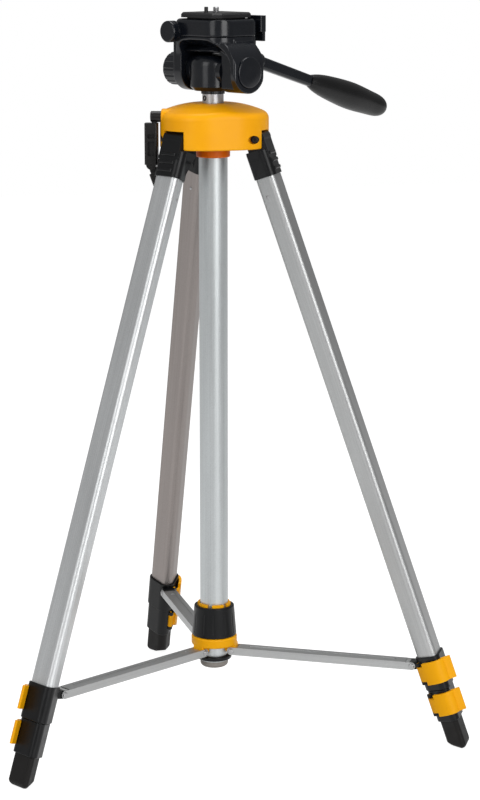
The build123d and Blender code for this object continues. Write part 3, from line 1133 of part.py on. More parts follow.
bracket = leg_bracket()
upper_tube = tube_between(0, UPPER_TUBE_BOTTOM, -BRACKET_DROP)
middle_tube = tube_between(MIDDLE_GROW, MIDDLE_TUBE_BOTTOM, MIDDLE_TUBE_TOP)
lower_tube = tube_between(LOWER_GROW, LOWER_TUBE_BOTTOM, LOWER_TUBE_TOP)
foot = rubber_foot()
collars = (upper_collar(), lower_collar())
levers = (flip_lever(UPPER_COLLAR_WALL, UPPER_COLLAR_TOP, UPPER_LEVER_DROP),
          flip_lever(LOWER_COLLAR_GROW, LOWER_COLLAR_TOP, LOWER_LEVER_DROP))
for side, azimuth in LEG_AZIMUTHS.items():
    write(side + "_leg_bracket", leg_place(azimuth, bracket))
    write(side + "_leg_tube", leg_place(azimuth, upper_tube))
    write(side + "_upper_collar", leg_place(azimuth, collars[0]))
    write(side + "_upper_lever", leg_place(azimuth, levers[0]))
    write(side + "_middle_tube", leg_place(azimuth, middle_tube))
    write(side + "_lower_collar", leg_place(azimuth, collars[1]))
    write(side + "_lower_lever", leg_place(azimuth, levers[1]))
    write(side + "_lower_tube", leg_place(azimuth, lower_tube))
    write(side + "_foot", at_azimuth(azimuth, foot))
    write(side + "_brace", at_azimuth(azimuth, brace()))
    write(side + "_brace_rivets", at_azimuth(azimuth, brace_rivets()))

print("brace length", round(BRACE_LENGTH, 2), "pivot height", round(PIVOT_HEIGHT, 2))
print("hub travel", round(HUB_TRAVEL, 2), "brace fold", round(degrees(FOLD_BRACE), 2))
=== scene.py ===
import bpy
import bmesh
from math import radians, sin, cos, pi
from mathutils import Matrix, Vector


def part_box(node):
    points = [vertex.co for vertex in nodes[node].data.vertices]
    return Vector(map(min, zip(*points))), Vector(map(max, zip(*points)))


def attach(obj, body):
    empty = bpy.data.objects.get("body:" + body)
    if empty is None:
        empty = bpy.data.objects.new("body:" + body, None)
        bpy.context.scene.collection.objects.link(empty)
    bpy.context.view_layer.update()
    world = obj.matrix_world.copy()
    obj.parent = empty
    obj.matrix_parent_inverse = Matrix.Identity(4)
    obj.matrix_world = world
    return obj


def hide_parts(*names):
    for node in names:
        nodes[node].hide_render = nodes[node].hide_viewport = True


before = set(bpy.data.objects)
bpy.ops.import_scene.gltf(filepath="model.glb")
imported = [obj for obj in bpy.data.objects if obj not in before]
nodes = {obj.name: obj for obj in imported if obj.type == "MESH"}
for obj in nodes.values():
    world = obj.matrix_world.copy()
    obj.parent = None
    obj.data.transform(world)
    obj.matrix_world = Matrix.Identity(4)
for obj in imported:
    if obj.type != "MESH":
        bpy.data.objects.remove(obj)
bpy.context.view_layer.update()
scene = bpy.context.scene
scene.view_settings.view_transform = "Standard"

# Sizes shared with the CAD model, in metres and degrees
LEG_AZIMUTHS = {"right": -30.0, "rear": 90.0, "left": 210.0}
LEG_TILT = 19.5
LEG_AXIS_INSET = 0.0044
HINGE_RADIUS = 0.050
HINGE_HEIGHT = 0.636
HINGE_PIN_FACE = 0.0207
TUBE_FACE = 0.01075
TUBE_FACE_ANGLE = 120.0
TUBE_PIN_DROP = 0.060
COLUMN_RADIUS = 0.011
SCREW_RADIUS = 0.003175
SCREW_HEAD_RADIUS = 0.008
SCREW_HEAD_THICK = 0.003
HEAD_AZIMUTH = -60.0
TILT_HEIGHT = 0.7042
SEAM_HEIGHT = 0.7392
PLATFORM_TOP = 0.7567
PLATFORM_FRONT = -0.0254
PLATFORM_SIDE = 0.035
DRUM_END = 0.0536

# Small fasteners
SOCKET_EDGE = 0.12
SOCKET_ROOT = 0.3
SOCKET_FLARE = 1.06
SOCKET_DEPTH = 0.7
HINGE_SOCKET_RADIUS = 0.0034
HINGE_SOCKET_PROUD = 0.0004
HINGE_SOCKET_ACROSS = 0.0030
NECK_SCREW_AZIMUTH = 204.0
NECK_SCREW_HEIGHT = 0.6762
NECK_SCREW_RADIUS = 0.0027
NECK_SCREW_PROUD = 0.0005
NECK_SCREW_ACROSS = 0.0028
TUBE_PIN_SEGMENTS = 24
THREAD_PITCH = 0.00127
THREAD_DEPTH = 0.00062
THREAD_STEPS = 132
THREAD_TIP_DROP = 0.0009
THREAD_TIP_SLOPE = 0.9
SCREW_HEAD_CHAMFER = 0.0004

# Forms of the head
HEAD_CORNER = 0.021
CORNER_STEPS = 24
SLAB_HEIGHT = 0.029
CUT_SPARE = 0.004
CUT_OVERLAP = 0.001
HOLLOW_FRONT = -0.0275
HOLLOW_BACK = -0.0125
HOLLOW_FOOT = -30.0
DISC_SEGMENTS = 96
DISC_ROOM_RADIUS = 0.0166
DISC_ROOM_DEPTH = 0.0008
HOOD_INNER = 0.0253
HOOD_OUTER = 0.0270
HOOD_SIDE = 0.0252
HOOD_FRONT = 50.0
HOOD_BACK = 152.0
HOOD_STEPS = 40
SOFT_VOXEL = 0.0005
SOFT_FACTOR = 0.5
SOFT_ROUNDS = 14
SOFT_KEEP = 0.45

# Grain of the materials, as noise scales
SLOW_DRIFT = 35.0
GLOSS_DRIFT = 120.0
DIE_LINES = (900.0, 900.0, 5.0)
SLOW_BANDS = (60.0, 60.0, 6.0)
SPECKLE_GRAIN = 1400.0
BAND_SHARE = 0.2

# Range of noise that is used, and how far it moves the gloss and the surface
NOISE_LOW = 0.3
NOISE_HIGH = 0.7
MIXED_LOW = 0.35
MIXED_HIGH = 0.65
PLASTIC_POLISH = 0.03
PLASTIC_DULL = 0.05
PLASTIC_RELIEF = 0.0002
PLASTIC_EDGE = 0.0004
METAL_POLISH = 0.05
METAL_DULL = 0.07
METAL_BUMP = 0.12
METAL_RELIEF = 0.0001
METAL_EDGE = 0.0003
EDGE_SAMPLES = 4

# Where painted shade turns the crown's yellow a deeper orange, on the ring below it
CROWN_RING_TOP = 0.6250
CROWN_RING_BLEND = 0.0010

# Stage and camera
FLOOR_REACH = 5.0
FLOOR_FRONT = 0.9
FLOOR_DROP = 0.0005
FLOOR_GREY = 0.34
FLOOR_GLOW = 0.9
FLOOR_MIRRORED = 0.68
AMBIENT = 0.42
MIRRORED_LEFT = 0.36
MIRRORED_RIGHT = 0.24
CAMERA_PLACE = (-0.591, -2.357, 0.853)
CAMERA_HEADING = (0.2543, 0.9671, 0)
CAMERA_PITCH = 11.51
CAMERA_LENS = 105.5
CAMERA_SENSOR = 36.0
CAMERA_FAR = 50.0


# Material helpers
def linear(r, g, b):
    # Linear colour of a display colour
    channels = []
    for level in (r / 255, g / 255, b / 255):
        channels.append(((level + 0.055) / 1.055) ** 2.4 if level > 10 / 255 else level / 12.92)
    return tuple(channels) + (1.0,)


def scaled(color, factor):
    return tuple(min(1.0, c * factor) for c in color[:3]) + (1.0,)


class Maker:
    """Builds one procedural material step by step."""

    def __init__(self, name, color, rough, metal=0.0):
        self.mat = bpy.data.materials.new(name)
        self.mat.use_nodes = True
        self.tree = self.mat.node_tree
        self.bsdf = self.tree.nodes["Principled BSDF"]
        self.bsdf.inputs["Base Color"].default_value = color
        self.bsdf.inputs["Roughness"].default_value = rough
        self.bsdf.inputs["Metallic"].default_value = metal
        self.coords = self.tree.nodes.new("ShaderNodeTexCoord").outputs["Object"]

    def node(self, kind, **values):
        made = self.tree.nodes.new(kind)
        for key, value in values.items():
            setattr(made, key, value)
        return made

    def link(self, a, b):
        self.tree.links.new(a, b)

    def grain(self, axis=None):
        # Texture coordinates whose Z runs along the given axis
        mapping = self.node("ShaderNodeMapping")
        if axis is not None:
            turn = Vector(axis).rotation_difference(Vector((0, 0, 1))).to_euler()
            mapping.inputs["Rotation"].default_value = turn
        self.link(self.coords, mapping.inputs["Vector"])
        return mapping.outputs["Vector"]

    def stretch(self, vector, scale):
        mapping = self.node("ShaderNodeMapping")
        mapping.inputs["Scale"].default_value = scale
        self.link(vector, mapping.inputs["Vector"])
        return mapping.outputs["Vector"]

    def noise(self, vector, scale, detail=2.0, roughness=0.5):
        tex = self.node("ShaderNodeTexNoise")
        tex.inputs["Scale"].default_value = scale
        tex.inputs["Detail"].default_value = detail
        tex.inputs["Roughness"].default_value = roughness
        self.link(vector, tex.inputs["Vector"])
        return tex.outputs["Fac"]

    def spread(self, value, low, high, out_low, out_high):
        ranged = self.node("ShaderNodeMapRange")
        ranged.inputs["From Min"].default_value = low
        ranged.inputs["From Max"].default_value = high
        ranged.inputs["To Min"].default_value = out_low
        ranged.inputs["To Max"].default_value = out_high
        self.link(value, ranged.inputs["Value"])
        return ranged.outputs["Result"]

    def math(self, kind, a, b):
        made = self.node("ShaderNodeMath", operation=kind)
        for socket, value in ((made.inputs[0], a), (made.inputs[1], b)):
            if isinstance(value, (int, float)):
                socket.default_value = value
            else:
                self.link(value, socket)
        return made.outputs[0]

    def tint(self, value, dark, light):
        mix = self.node("ShaderNodeMix", data_type="RGBA")
        mix.inputs[6].default_value = dark
        mix.inputs[7].default_value = light
        self.link(value, mix.inputs[0])
        self.link(mix.outputs[2], self.bsdf.inputs["Base Color"])

    def paint_shade_below(self, color, height, blend):
        # Painted shade: below a height the colour turns to a deeper one
        split = self.node("ShaderNodeSeparateXYZ")
        self.link(self.coords, split.inputs[0])
        share = self.spread(split.outputs["Z"], height - blend, height + blend, 0.0, 1.0)
        mix = self.node("ShaderNodeMix", data_type="RGBA")
        mix.inputs[6].default_value = color
        self.link(self.bsdf.inputs["Base Color"].links[0].from_socket, mix.inputs[7])
        self.link(share, mix.inputs[0])
        self.link(mix.outputs[2], self.bsdf.inputs["Base Color"])

    def sheen(self, value, low, high):
        self.link(self.spread(value, NOISE_LOW, NOISE_HIGH, low, high), self.bsdf.inputs["Roughness"])

    def relief(self, value, strength, distance, edge):
        # Fine bumps, with edges that catch the light as slightly rounded ones do
        bump = self.node("ShaderNodeBump")
        bump.inputs["Strength"].default_value = strength
        bump.inputs["Distance"].default_value = distance
        self.link(value, bump.inputs["Height"])
        bevel = self.node("ShaderNodeBevel", samples=EDGE_SAMPLES)
        bevel.inputs["Radius"].default_value = edge
        self.link(bevel.outputs["Normal"], bump.inputs["Normal"])
        self.link(bump.outputs["Normal"], self.bsdf.inputs["Normal"])


def moulded(name, color, rough, grain, bump, vary=0.08, shine=0.4, painted_shade_tint=None):
    # Injection-moulded plastic: fine spark grain, slow colour drift, slightly uneven gloss
    made = Maker(name, color, rough)
    made.bsdf.inputs["Specular IOR Level"].default_value = shine
    place = made.grain()
    fine = made.noise(place, grain, 3.0, 0.6)
    slow = made.noise(place, SLOW_DRIFT)
    drift = made.spread(slow, NOISE_LOW, NOISE_HIGH, 0.0, 1.0)
    made.tint(drift, scaled(color, 1.0 - vary), scaled(color, 1.0 + vary))
    # Painted shade: below the crown's ring top the yellow deepens to orange
    if painted_shade_tint:
        made.paint_shade_below(painted_shade_tint, CROWN_RING_TOP, CROWN_RING_BLEND)
    made.sheen(made.noise(place, GLOSS_DRIFT, 3.0), rough - PLASTIC_POLISH, rough + PLASTIC_DULL)
    made.relief(fine, bump, PLASTIC_RELIEF, PLASTIC_EDGE)
    return made.mat


def drawn_metal(name, color, rough, axis, speckle=0.10, streak=0.07):
    # Drawn and anodised tube: fine bright speckle with faint die lines along the length
    made = Maker(name, color, rough, 1.0)
    place = made.grain(axis)
    lines = made.noise(made.stretch(place, DIE_LINES), 1.0, 3.0, 0.6)
    dots = made.noise(place, SPECKLE_GRAIN, 2.0, 0.7)
    slow = made.noise(made.stretch(place, SLOW_BANDS), 1.0)
    total = streak + speckle
    line_part = made.math("MULTIPLY", lines, streak / total)
    dot_part = made.math("MULTIPLY", dots, speckle / total)
    mixed = made.math("MULTIPLY", made.math("ADD", line_part, dot_part), 1.0 - BAND_SHARE)
    mixed = made.math("ADD", mixed, made.math("MULTIPLY", slow, BAND_SHARE))
    drift = made.spread(mixed, MIXED_LOW, MIXED_HIGH, 0.0, 1.0)
    made.tint(drift, scaled(color, 1.0 - total), scaled(color, 1.0 + total))
    made.sheen(mixed, rough - METAL_POLISH, rough + METAL_DULL)
    made.relief(made.math("ADD", lines, dots), METAL_BUMP, METAL_RELIEF, METAL_EDGE)
    return made.mat


def leg_axis(azimuth):
    turn = radians(azimuth)
    tilt = radians(LEG_TILT)
    return (-sin(tilt) * cos(turn), -sin(tilt) * sin(turn), cos(tilt))


def brace_axis(azimuth):
    turn = radians(azimuth)
    return (cos(turn), sin(turn), 0)


# Materials
YELLOW = moulded("yellow_plastic", linear(255, 177, 3),
                 rough=0.42, grain=900.0, bump=0.08, vary=0.04, shine=0.20)
# The crown's yellow, with painted shade turning it a deeper orange on the ring below
CROWN_YELLOW = moulded("crown_plastic", linear(255, 174, 2),
                       rough=0.40, grain=900.0, bump=0.06, vary=0.04, shine=0.20,
                       painted_shade_tint=linear(238, 112, 6))
HEAD_BLACK = moulded("head_plastic", linear(14, 17, 23),
                     rough=0.20, grain=1100.0, bump=0.02, vary=0.10, shine=0.44)
COLLAR_BLACK = moulded("collar_plastic", linear(12, 13, 15),
                       rough=0.34, grain=800.0, bump=0.08, vary=0.12, shine=0.27)
CRANK_BLACK = moulded("crank_plastic", linear(19, 17, 16),
                      rough=0.34, grain=900.0, bump=0.08, vary=0.12)
FOOT_BLACK = moulded("foot_rubber", linear(17, 15, 14),
                     rough=0.55, grain=600.0, bump=0.20, vary=0.14, shine=0.24)
GRIP_BLACK = moulded("grip_rubber", linear(14, 14, 15),
                     rough=0.34, grain=700.0, bump=0.06, vary=0.10, shine=0.34)
PLATE_BLACK = moulded("plate_pad", linear(24, 24, 26),
                      rough=0.45, grain=600.0, bump=0.20, vary=0.12, shine=0.34)
CAP_GREY = moulded("cap_plastic", linear(150, 144, 138),
                   rough=0.55, grain=700.0, bump=0.20)
PIN_BLACK = moulded("pin_plastic", linear(30, 30, 30),
                    rough=0.42, grain=900.0, bump=0.10, vary=0.10)
GUIDE_METAL = drawn_metal("guide_metal", linear(200, 204, 205), 0.46, (0, 0, 1))
COLUMN_METAL = drawn_metal("column_metal", linear(186, 187, 189), 0.42, (0, 0, 1))
# One anodised metal in three tones of painted light and shade: the left leg painted lighter as lit, the right
# leg darker, the rear leg darker and warmer as in shade
LEG_LIT_AND_SHADED_TONE = {"right": (189, 190, 190), "rear": (153, 146, 143), "left": (216, 218, 219)}
LEG_LIT_AND_SHADED_METAL = {}
for side, azimuth in LEG_AZIMUTHS.items():
    LEG_LIT_AND_SHADED_METAL[side] = drawn_metal("leg_metal_lit_and_shaded_" + side, linear(*LEG_LIT_AND_SHADED_TONE[side]), 0.46, leg_axis(azimuth))
BRACE_METAL = {}
for side, azimuth in LEG_AZIMUTHS.items():
    BRACE_METAL[side] = drawn_metal("brace_metal_" + side, linear(186, 187, 187), 0.48, brace_axis(azimuth),
                                    speckle=0.06, streak=0.08)
STEEL = drawn_metal("bright_steel", linear(176, 176, 177), 0.34, (0, 0, 1), speckle=0.05, streak=0.04)

by_node = {
    "crown_housing": CROWN_YELLOW,
    "brace_hub": YELLOW,
    "guide_tube": GUIDE_METAL,
    "column_tube": COLUMN_METAL,
    "tube_end_cap": CAP_GREY,
    "handle_grip": GRIP_BLACK,
    "qr_plate": PLATE_BLACK,
    "index_pin": PIN_BLACK,
    "laser_screw": STEEL,
}
for name in ("stop_ring", "column_bush", "column_guide_plug", "leg_hinge_pins", "spread_lock_nut",
             "column_lock_knob"):
    by_node[name] = COLLAR_BLACK
for name in ("pan_base", "neck_post", "yoke", "tilt_knob", "platform", "side_knob", "qr_lever", "handle_rod"):
    by_node[name] = HEAD_BLACK
for name in ("crank_shaft", "crank_arm", "crank_grip"):
    by_node[name] = CRANK_BLACK
for side in LEG_AZIMUTHS:
    by_node[side + "_leg_bracket"] = COLLAR_BLACK
    by_node[side + "_foot"] = FOOT_BLACK
    by_node[side + "_brace"] = BRACE_METAL[side]
    by_node[side + "_brace_rivets"] = STEEL
    for part in ("leg_tube", "middle_tube", "lower_tube"):
        by_node[side + "_" + part] = LEG_LIT_AND_SHADED_METAL[side]
    for part in ("upper_collar", "lower_collar"):
        by_node[side + "_" + part] = COLLAR_BLACK
    for part in ("upper_lever", "lower_lever"):
        by_node[side + "_" + part] = YELLOW
for name, obj in nodes.items():
    obj.data.materials.clear()
    obj.data.materials.append(by_node[name])


# Detail pieces
def placed(name, mesh, material, body):
    # Puts a finished mesh into the scene as a piece of one body
    piece = bpy.data.objects.new(name, mesh)
    scene.collection.objects.link(piece)
    mesh.materials.append(material)
    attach(piece, body)
    return piece


def turned(name, place, axis, levels, radius_at, material, body, segments=48):
    # A turned piece: rings of points about an axis, closed at both ends; radius_at may vary with the angle
    mesh = bpy.data.meshes.new(name)
    work = bmesh.new()
    frame_turn = Vector((0, 0, 1)).rotation_difference(Vector(axis))
    rings = []
    for level in levels:
        ring = []
        for step in range(segments):
            angle = 2 * pi * step / segments
            radius, height = radius_at(level, angle)
            local = Vector((radius * cos(angle), radius * sin(angle), height))
            ring.append(work.verts.new(Vector(place) + frame_turn @ local))
        rings.append(ring)
    for low, high in zip(rings, rings[1:]):
        for step in range(segments):
            after = (step + 1) % segments
            work.faces.new((low[step], low[after], high[after], high[step]))
    work.faces.new(tuple(reversed(rings[0])))
    work.faces.new(tuple(rings[-1]))
    for face in work.faces:
        face.smooth = len(face.verts) == 4
    work.to_mesh(mesh)
    work.free()
    return placed(name, mesh, material, body)


def lathe(profile):
    # Radius and height of a plain turned profile, given as a list of (radius, height)
    return lambda level, angle: profile[level]


def hexagon(angle, across):
    return across / 2 / cos((angle % (pi / 3)) - pi / 6)


def socket_screw(name, place, axis, radius, proud, across, material, body):
    # A small screw end with a hexagon socket
    def shape(level, angle):
        edge = SOCKET_EDGE * radius
        if level == 0:
            return (radius, -SOCKET_ROOT * proud)
        if level == 1:
            return (radius, proud - edge)
        if level == 2:
            return (radius - edge, proud)
        hexed = hexagon(angle, across)
        if level == 3:
            return (hexed * SOCKET_FLARE, proud)
        if level == 4:
            return (hexed, proud - edge)
        return (hexed, proud - radius * SOCKET_DEPTH)
    turned(name, place, axis, range(6), shape, material, body)


def leg_point(azimuth, x, y, z):
    # A point of the leg's own frame: hinge at the origin, x outward, z up the leg
    tilt = radians(LEG_TILT)
    turn = radians(azimuth)
    reach = HINGE_RADIUS + x * cos(tilt) - z * sin(tilt)
    height = HINGE_HEIGHT + x * sin(tilt) + z * cos(tilt)
    return Vector((reach * cos(turn) - y * sin(turn), reach * sin(turn) + y * cos(turn), height))


def tube_pins():
    # The pin heads that hold each bracket's plug, one on each side face of the tube
    head = [(1.7, -0.4), (1.7, 0.15), (1.55, 0.42), (1.1, 0.66), (0.5, 0.76)]
    head = [(radius / 1000, height / 1000) for radius, height in head]
    for side, azimuth in LEG_AZIMUTHS.items():
        for sign, hand in ((-1, "right"), (1, "left")):
            lean = radians(sign * TUBE_FACE_ANGLE)
            x = -LEG_AXIS_INSET + TUBE_FACE * cos(lean)
            y = TUBE_FACE * sin(lean)
            middle = leg_point(azimuth, x, y, -TUBE_PIN_DROP)
            outward = leg_point(azimuth, x + cos(lean), y + sin(lean), -TUBE_PIN_DROP) - middle
            turned(side + "_tube_pin_" + hand, middle, outward, range(len(head)), lathe(head),
                   STEEL, side + "_leg", TUBE_PIN_SEGMENTS)


def hinge_pin_sockets():
    # The hexagon socket seen in one end of each leg's hinge pin
    for side, azimuth in LEG_AZIMUTHS.items():
        turn = radians(azimuth)
        tangent = Vector((-sin(turn), cos(turn), 0))
        hinge = Vector((HINGE_RADIUS * cos(turn), HINGE_RADIUS * sin(turn), HINGE_HEIGHT))
        face = hinge - tangent * HINGE_PIN_FACE
        socket_screw(side + "_hinge_pin_socket", face, -tangent, HINGE_SOCKET_RADIUS, HINGE_SOCKET_PROUD,
                     HINGE_SOCKET_ACROSS, PIN_BLACK, "stand")


def instrument_thread():
    # The quarter-inch stud with its helical thread, in place of the plain one
    low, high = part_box("laser_screw")
    middle = ((low[0] + high[0]) / 2, (low[1] + high[1]) / 2, low[2])
    length = high[2] - low[2]

    def shape(level, angle):
        if level == 0:
            return (SCREW_HEAD_RADIUS - SCREW_HEAD_CHAMFER, 0.0)
        if level == 1:
            return (SCREW_HEAD_RADIUS, SCREW_HEAD_CHAMFER)
        if level == 2:
            return (SCREW_HEAD_RADIUS, SCREW_HEAD_THICK - SCREW_HEAD_CHAMFER)
        if level == 3:
            return (SCREW_HEAD_RADIUS - SCREW_HEAD_CHAMFER, SCREW_HEAD_THICK)
        share = (level - 4) / (THREAD_STEPS - 1)
        height = SCREW_HEAD_THICK + share * (length - SCREW_HEAD_THICK)
        phase = (height / THREAD_PITCH - angle / (2 * pi)) % 1.0
        ridge = SCREW_RADIUS - THREAD_DEPTH * abs(2 * phase - 1)
        tip = SCREW_RADIUS - THREAD_TIP_DROP + (length - height) * THREAD_TIP_SLOPE
        return (min(ridge, tip), height)

    stud = turned("instrument_stud", middle, (0, 0, 1), range(4 + THREAD_STEPS), shape,
                  STEEL, "instrument_screw")
    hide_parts("laser_screw")


def neck_screw():
    # The set screw in the column's neck, just under the head
    turn = radians(NECK_SCREW_AZIMUTH)
    outward = Vector((cos(turn), sin(turn), 0))
    place = outward * COLUMN_RADIUS + Vector((0, 0, NECK_SCREW_HEIGHT))
    socket_screw("neck_set_screw", place, outward, NECK_SCREW_RADIUS, NECK_SCREW_PROUD, NECK_SCREW_ACROSS,
                 PIN_BLACK, "column")


# Forms of the head
def head_point(x, y, z):
    # A point of the head's own frame: x along the tilt axle, y towards the pan handle
    turn = radians(HEAD_AZIMUTH)
    return Vector((x * cos(turn) - y * sin(turn), x * sin(turn) + y * cos(turn), z))


def cutter(name, low, high):
    # A closed solid between two loops of equally many points
    mesh = bpy.data.meshes.new(name)
    work = bmesh.new()
    ends = [[work.verts.new(point) for point in loop] for loop in (low, high)]
    count = len(low)
    for step in range(count):
        after = (step + 1) % count
        work.faces.new((ends[0][step], ends[0][after], ends[1][after], ends[1][step]))
    work.faces.new(tuple(reversed(ends[0])))
    work.faces.new(tuple(ends[1]))
    bmesh.ops.recalc_face_normals(work, faces=work.faces[:])
    work.to_mesh(mesh)
    work.free()
    return bpy.data.objects.new(name, mesh)


def corner_cutter(bottom, top):
    # What the head's wide front corner takes off the square one
    middle_x = PLATFORM_SIDE - HEAD_CORNER
    middle_y = PLATFORM_FRONT + HEAD_CORNER
    edge = []
    for step in range(CORNER_STEPS + 1):
        angle = pi / 2 * step / CORNER_STEPS
        edge.append((middle_x + HEAD_CORNER * sin(angle), middle_y - HEAD_CORNER * cos(angle)))
    edge.append((PLATFORM_SIDE + CUT_SPARE, middle_y))
    edge.append((PLATFORM_SIDE + CUT_SPARE, PLATFORM_FRONT - CUT_SPARE))
    edge.append((middle_x, PLATFORM_FRONT - CUT_SPARE))
    loops = [[head_point(x, y, height) for x, y in edge] for height in (bottom, top)]
    return cutter("corner", loops[0], loops[1])


def under_cutter():
    # The hollow under the head's overhang: its edge sweeps from the front corner down to the drum's rim
    sweep = [(50.2, 3.0), (50.0, 9.0), (48.8, 14.0), (46.0, 19.0), (41.5, 23.6), (35.5, 27.6), (28.5, 30.8),
             (20.0, 33.0), (8.0, 33.4), (-8.0, 33.2), (-18.0, 32.2), (-23.0, 30.0), (-25.4, 26.0)]
    inner = [(43.0, 2.0), (42.6, 6.0), (41.0, 10.0), (38.0, 13.6), (33.6, 17.2), (28.0, 20.2), (21.0, 22.8),
             (13.0, 24.6), (4.0, 25.4), (-8.0, 25.6), (-18.0, 25.6), (-22.6, 25.2), (-25.2, 23.0)]
    loops = []
    for line, depth in ((sweep, HOLLOW_FRONT), (inner, HOLLOW_BACK)):
        loop = [(line[-1][0], HOLLOW_FOOT), (line[0][0], HOLLOW_FOOT)] + line
        loops.append([head_point(x / 1000, depth, TILT_HEIGHT + z / 1000) for x, z in loop])
    return cutter("hollow", loops[0], loops[1])


def disc_cutter():
    # Clears the drum's end of its cap, with a thin groove round it
    loops = []
    for x in (DRUM_END - DISC_ROOM_DEPTH, DRUM_END + CUT_SPARE):
        loop = []
        for step in range(DISC_SEGMENTS):
            angle = 2 * pi * step / DISC_SEGMENTS
            y = DISC_ROOM_RADIUS * cos(angle)
            z = TILT_HEIGHT + DISC_ROOM_RADIUS * sin(angle)
            loop.append(head_point(x, y, z))
        loops.append(loop)
    return cutter("disc_room", loops[0], loops[1])


def softened(node, cutters, body, material):
    # A copy of a CAD piece with cuts made and its edges rounded over, shown in its place
    work = bpy.data.objects.new(node + "_work", nodes[node].data.copy())
    scene.collection.objects.link(work)
    for tool in cutters:
        scene.collection.objects.link(tool)
        cut = work.modifiers.new("cut", "BOOLEAN")
        cut.operation = "DIFFERENCE"
        cut.solver = "EXACT"
        cut.object = tool
    skin = work.modifiers.new("skin", "REMESH")
    skin.mode = "VOXEL"
    skin.voxel_size = SOFT_VOXEL
    ease = work.modifiers.new("ease", "SMOOTH")
    ease.factor = SOFT_FACTOR
    ease.iterations = SOFT_ROUNDS
    thin = work.modifiers.new("thin", "DECIMATE")
    thin.ratio = SOFT_KEEP
    bpy.context.view_layer.update()
    mesh = bpy.data.meshes.new_from_object(work.evaluated_get(bpy.context.evaluated_depsgraph_get()))
    mesh.name = node + "_form"
    for tool in cutters + [work]:
        bpy.data.objects.remove(tool)
    for face in mesh.polygons:
        face.use_smooth = True
    mesh.materials.clear()
    piece = placed(node + "_form", mesh, material, body)
    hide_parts(node)


def yoke_hood():
    # A curved wall round the tilt axle closes the bridge over the post, clear of it at every tilt
    mesh = bpy.data.meshes.new("yoke_hood")
    work = bmesh.new()
    section = [(-HOOD_SIDE, HOOD_INNER), (HOOD_SIDE, HOOD_INNER)]
    section += [(HOOD_SIDE, HOOD_OUTER), (-HOOD_SIDE, HOOD_OUTER)]
    rows = []
    for step in range(HOOD_STEPS + 1):
        angle = radians(HOOD_FRONT + (HOOD_BACK - HOOD_FRONT) * step / HOOD_STEPS)
        row = []
        for x, radius in section:
            point = head_point(x, -radius * cos(angle), TILT_HEIGHT + radius * sin(angle))
            row.append(work.verts.new(point))
        rows.append(row)
    for low, high in zip(rows, rows[1:]):
        for step in range(4):
            after = (step + 1) % 4
            face = work.faces.new((low[step], low[after], high[after], high[step]))
            face.smooth = step in (0, 2)
    work.faces.new(tuple(reversed(rows[0])))
    work.faces.new(tuple(rows[-1]))
    bmesh.ops.recalc_face_normals(work, faces=work.faces[:])
    work.to_mesh(mesh)
    work.free()
    placed("yoke_hood", mesh, HEAD_BLACK, "yoke")


def drum_cap():
    # The crisp disc that closes the drum's end
    disc = [(15.8, -1.2), (15.8, 0.2), (15.4, 0.7), (14.6, 0.9), (6.0, 0.95)]
    disc = [(radius / 1000, height / 1000) for radius, height in disc]
    turned("drum_cap_disc", head_point(DRUM_END, 0, TILT_HEIGHT), head_point(1, 0, 0), range(len(disc)),
           lathe(disc), HEAD_BLACK, "yoke", DISC_SEGMENTS)


def head_forms():
    platform_cut = corner_cutter(SEAM_HEIGHT - CUT_OVERLAP, PLATFORM_TOP + CUT_OVERLAP)
    softened("platform", [platform_cut], "platform", HEAD_BLACK)
    yoke_cut = corner_cutter(TILT_HEIGHT + SLAB_HEIGHT, SEAM_HEIGHT + CUT_OVERLAP)
    softened("yoke", [yoke_cut, under_cutter(), disc_cutter()], "yoke", HEAD_BLACK)
    yoke_hood()
    drum_cap()


head_forms()
tube_pins()
hinge_pin_sockets()
instrument_thread()
neck_screw()


# Stage: pale floor, white surround, soft studio light
def stage_floor():
    mesh = bpy.data.meshes.new("floor")
    work = bmesh.new()
    corners = [(-FLOOR_REACH, -FLOOR_FRONT), (FLOOR_REACH, -FLOOR_FRONT)]
    corners += [(FLOOR_REACH, FLOOR_REACH), (-FLOOR_REACH, FLOOR_REACH)]
    work.faces.new([work.verts.new((x, y, 0)) for x, y in corners])
    work.to_mesh(mesh)
    work.free()
    floor = bpy.data.objects.new("floor", mesh)
    floor.location = (0, 0, -FLOOR_DROP)
    scene.collection.objects.link(floor)
    mat = bpy.data.materials.new("floor_white")
    mat.use_nodes = True
    tree = mat.node_tree
    tree.nodes.clear()
    out = tree.nodes.new("ShaderNodeOutputMaterial")
    add = tree.nodes.new("ShaderNodeAddShader")
    diffuse = tree.nodes.new("ShaderNodeBsdfDiffuse")
    diffuse.inputs["Color"].default_value = (FLOOR_GREY, FLOOR_GREY, FLOOR_GREY, 1)
    glow = tree.nodes.new("ShaderNodeEmission")
    glow.inputs["Color"].default_value = (1, 1, 1, 1)
    path = tree.nodes.new("ShaderNodeLightPath")
    seen = tree.nodes.new("ShaderNodeMath")
    seen.operation = "MAXIMUM"
    glows = (("Is Camera Ray", FLOOR_GLOW), ("Is Glossy Ray", FLOOR_MIRRORED))
    for slot, (ray, strength) in enumerate(glows):
        level = tree.nodes.new("ShaderNodeMath")
        level.operation = "MULTIPLY"
        level.inputs[1].default_value = strength
        tree.links.new(path.outputs[ray], level.inputs[0])
        tree.links.new(level.outputs[0], seen.inputs[slot])
    tree.links.new(seen.outputs[0], glow.inputs["Strength"])
    tree.links.new(diffuse.outputs[0], add.inputs[0])
    tree.links.new(glow.outputs[0], add.inputs[1])
    tree.links.new(add.outputs[0], out.inputs["Surface"])
    mesh.materials.append(mat)


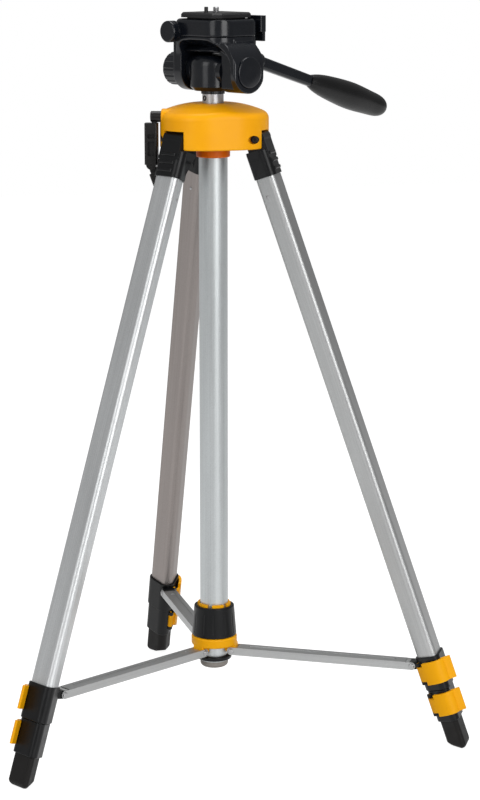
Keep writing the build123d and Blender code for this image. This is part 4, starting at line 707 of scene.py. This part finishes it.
def surround():
    # White to the camera, a plain level of light on the object, and darker to the right in reflections
    world = bpy.data.worlds.new("surround")
    scene.world = world
    world.use_nodes = True
    tree = world.node_tree
    tree.nodes.clear()
    out = tree.nodes.new("ShaderNodeOutputWorld")
    back = tree.nodes.new("ShaderNodeBackground")
    back.inputs["Color"].default_value = (1, 1, 1, 1)
    path = tree.nodes.new("ShaderNodeLightPath")
    first = tree.nodes.new("ShaderNodeMath")
    first.operation = "MAXIMUM"
    tree.links.new(path.outputs["Is Camera Ray"], first.inputs[0])
    tree.links.new(path.outputs["Is Transmission Ray"], first.inputs[1])
    way = tree.nodes.new("ShaderNodeSeparateXYZ")
    tree.links.new(tree.nodes.new("ShaderNodeTexCoord").outputs["Generated"], way.inputs[0])
    sheen = tree.nodes.new("ShaderNodeMapRange")
    sheen.inputs["From Min"].default_value = -1.0
    sheen.inputs["From Max"].default_value = 1.0
    sheen.inputs["To Min"].default_value = MIRRORED_LEFT
    sheen.inputs["To Max"].default_value = MIRRORED_RIGHT
    tree.links.new(way.outputs["X"], sheen.inputs["Value"])
    plain = tree.nodes.new("ShaderNodeMix")
    plain.inputs[2].default_value = AMBIENT
    tree.links.new(path.outputs["Is Glossy Ray"], plain.inputs[0])
    tree.links.new(sheen.outputs["Result"], plain.inputs[3])
    level = tree.nodes.new("ShaderNodeMix")
    level.inputs[3].default_value = 1.0
    tree.links.new(first.outputs[0], level.inputs[0])
    tree.links.new(plain.outputs[0], level.inputs[2])
    tree.links.new(level.outputs[0], back.inputs["Strength"])
    tree.links.new(back.outputs[0], out.inputs["Surface"])


def softbox(name, place, aim, size, power):
    lamp = bpy.data.lights.new(name, "AREA")
    lamp.shape = "RECTANGLE"
    lamp.size = size[0]
    lamp.size_y = size[1]
    lamp.energy = power
    obj = bpy.data.objects.new(name, lamp)
    obj.location = place
    obj.rotation_euler = (Vector(aim) - Vector(place)).to_track_quat("-Z", "Y").to_euler()
    scene.collection.objects.link(obj)


def camera():
    data = bpy.data.cameras.new("camera")
    data.sensor_width = CAMERA_SENSOR
    data.lens = CAMERA_LENS
    data.clip_end = CAMERA_FAR
    obj = bpy.data.objects.new("camera", data)
    pitch = radians(CAMERA_PITCH)
    heading = Vector(CAMERA_HEADING).normalized()
    look = heading * cos(pitch) + Vector((0, 0, -sin(pitch)))
    obj.location = CAMERA_PLACE
    obj.rotation_euler = look.to_track_quat("-Z", "Y").to_euler()
    scene.collection.objects.link(obj)
    scene.camera = obj


stage_floor()
surround()
softbox("front_light", place=(0.6, -2.3, 1.1), aim=(0, 0, 0.45), size=(1.3, 1.8), power=29.0)
softbox("left_light", place=(-1.6, -1.2, 1.3), aim=(0, 0, 0.45), size=(1.0, 1.7), power=12.0)
softbox("top_light", place=(0.2, 0.3, 2.4), aim=(0, 0, 0.4), size=(1.2, 1.2), power=20.0)
camera()
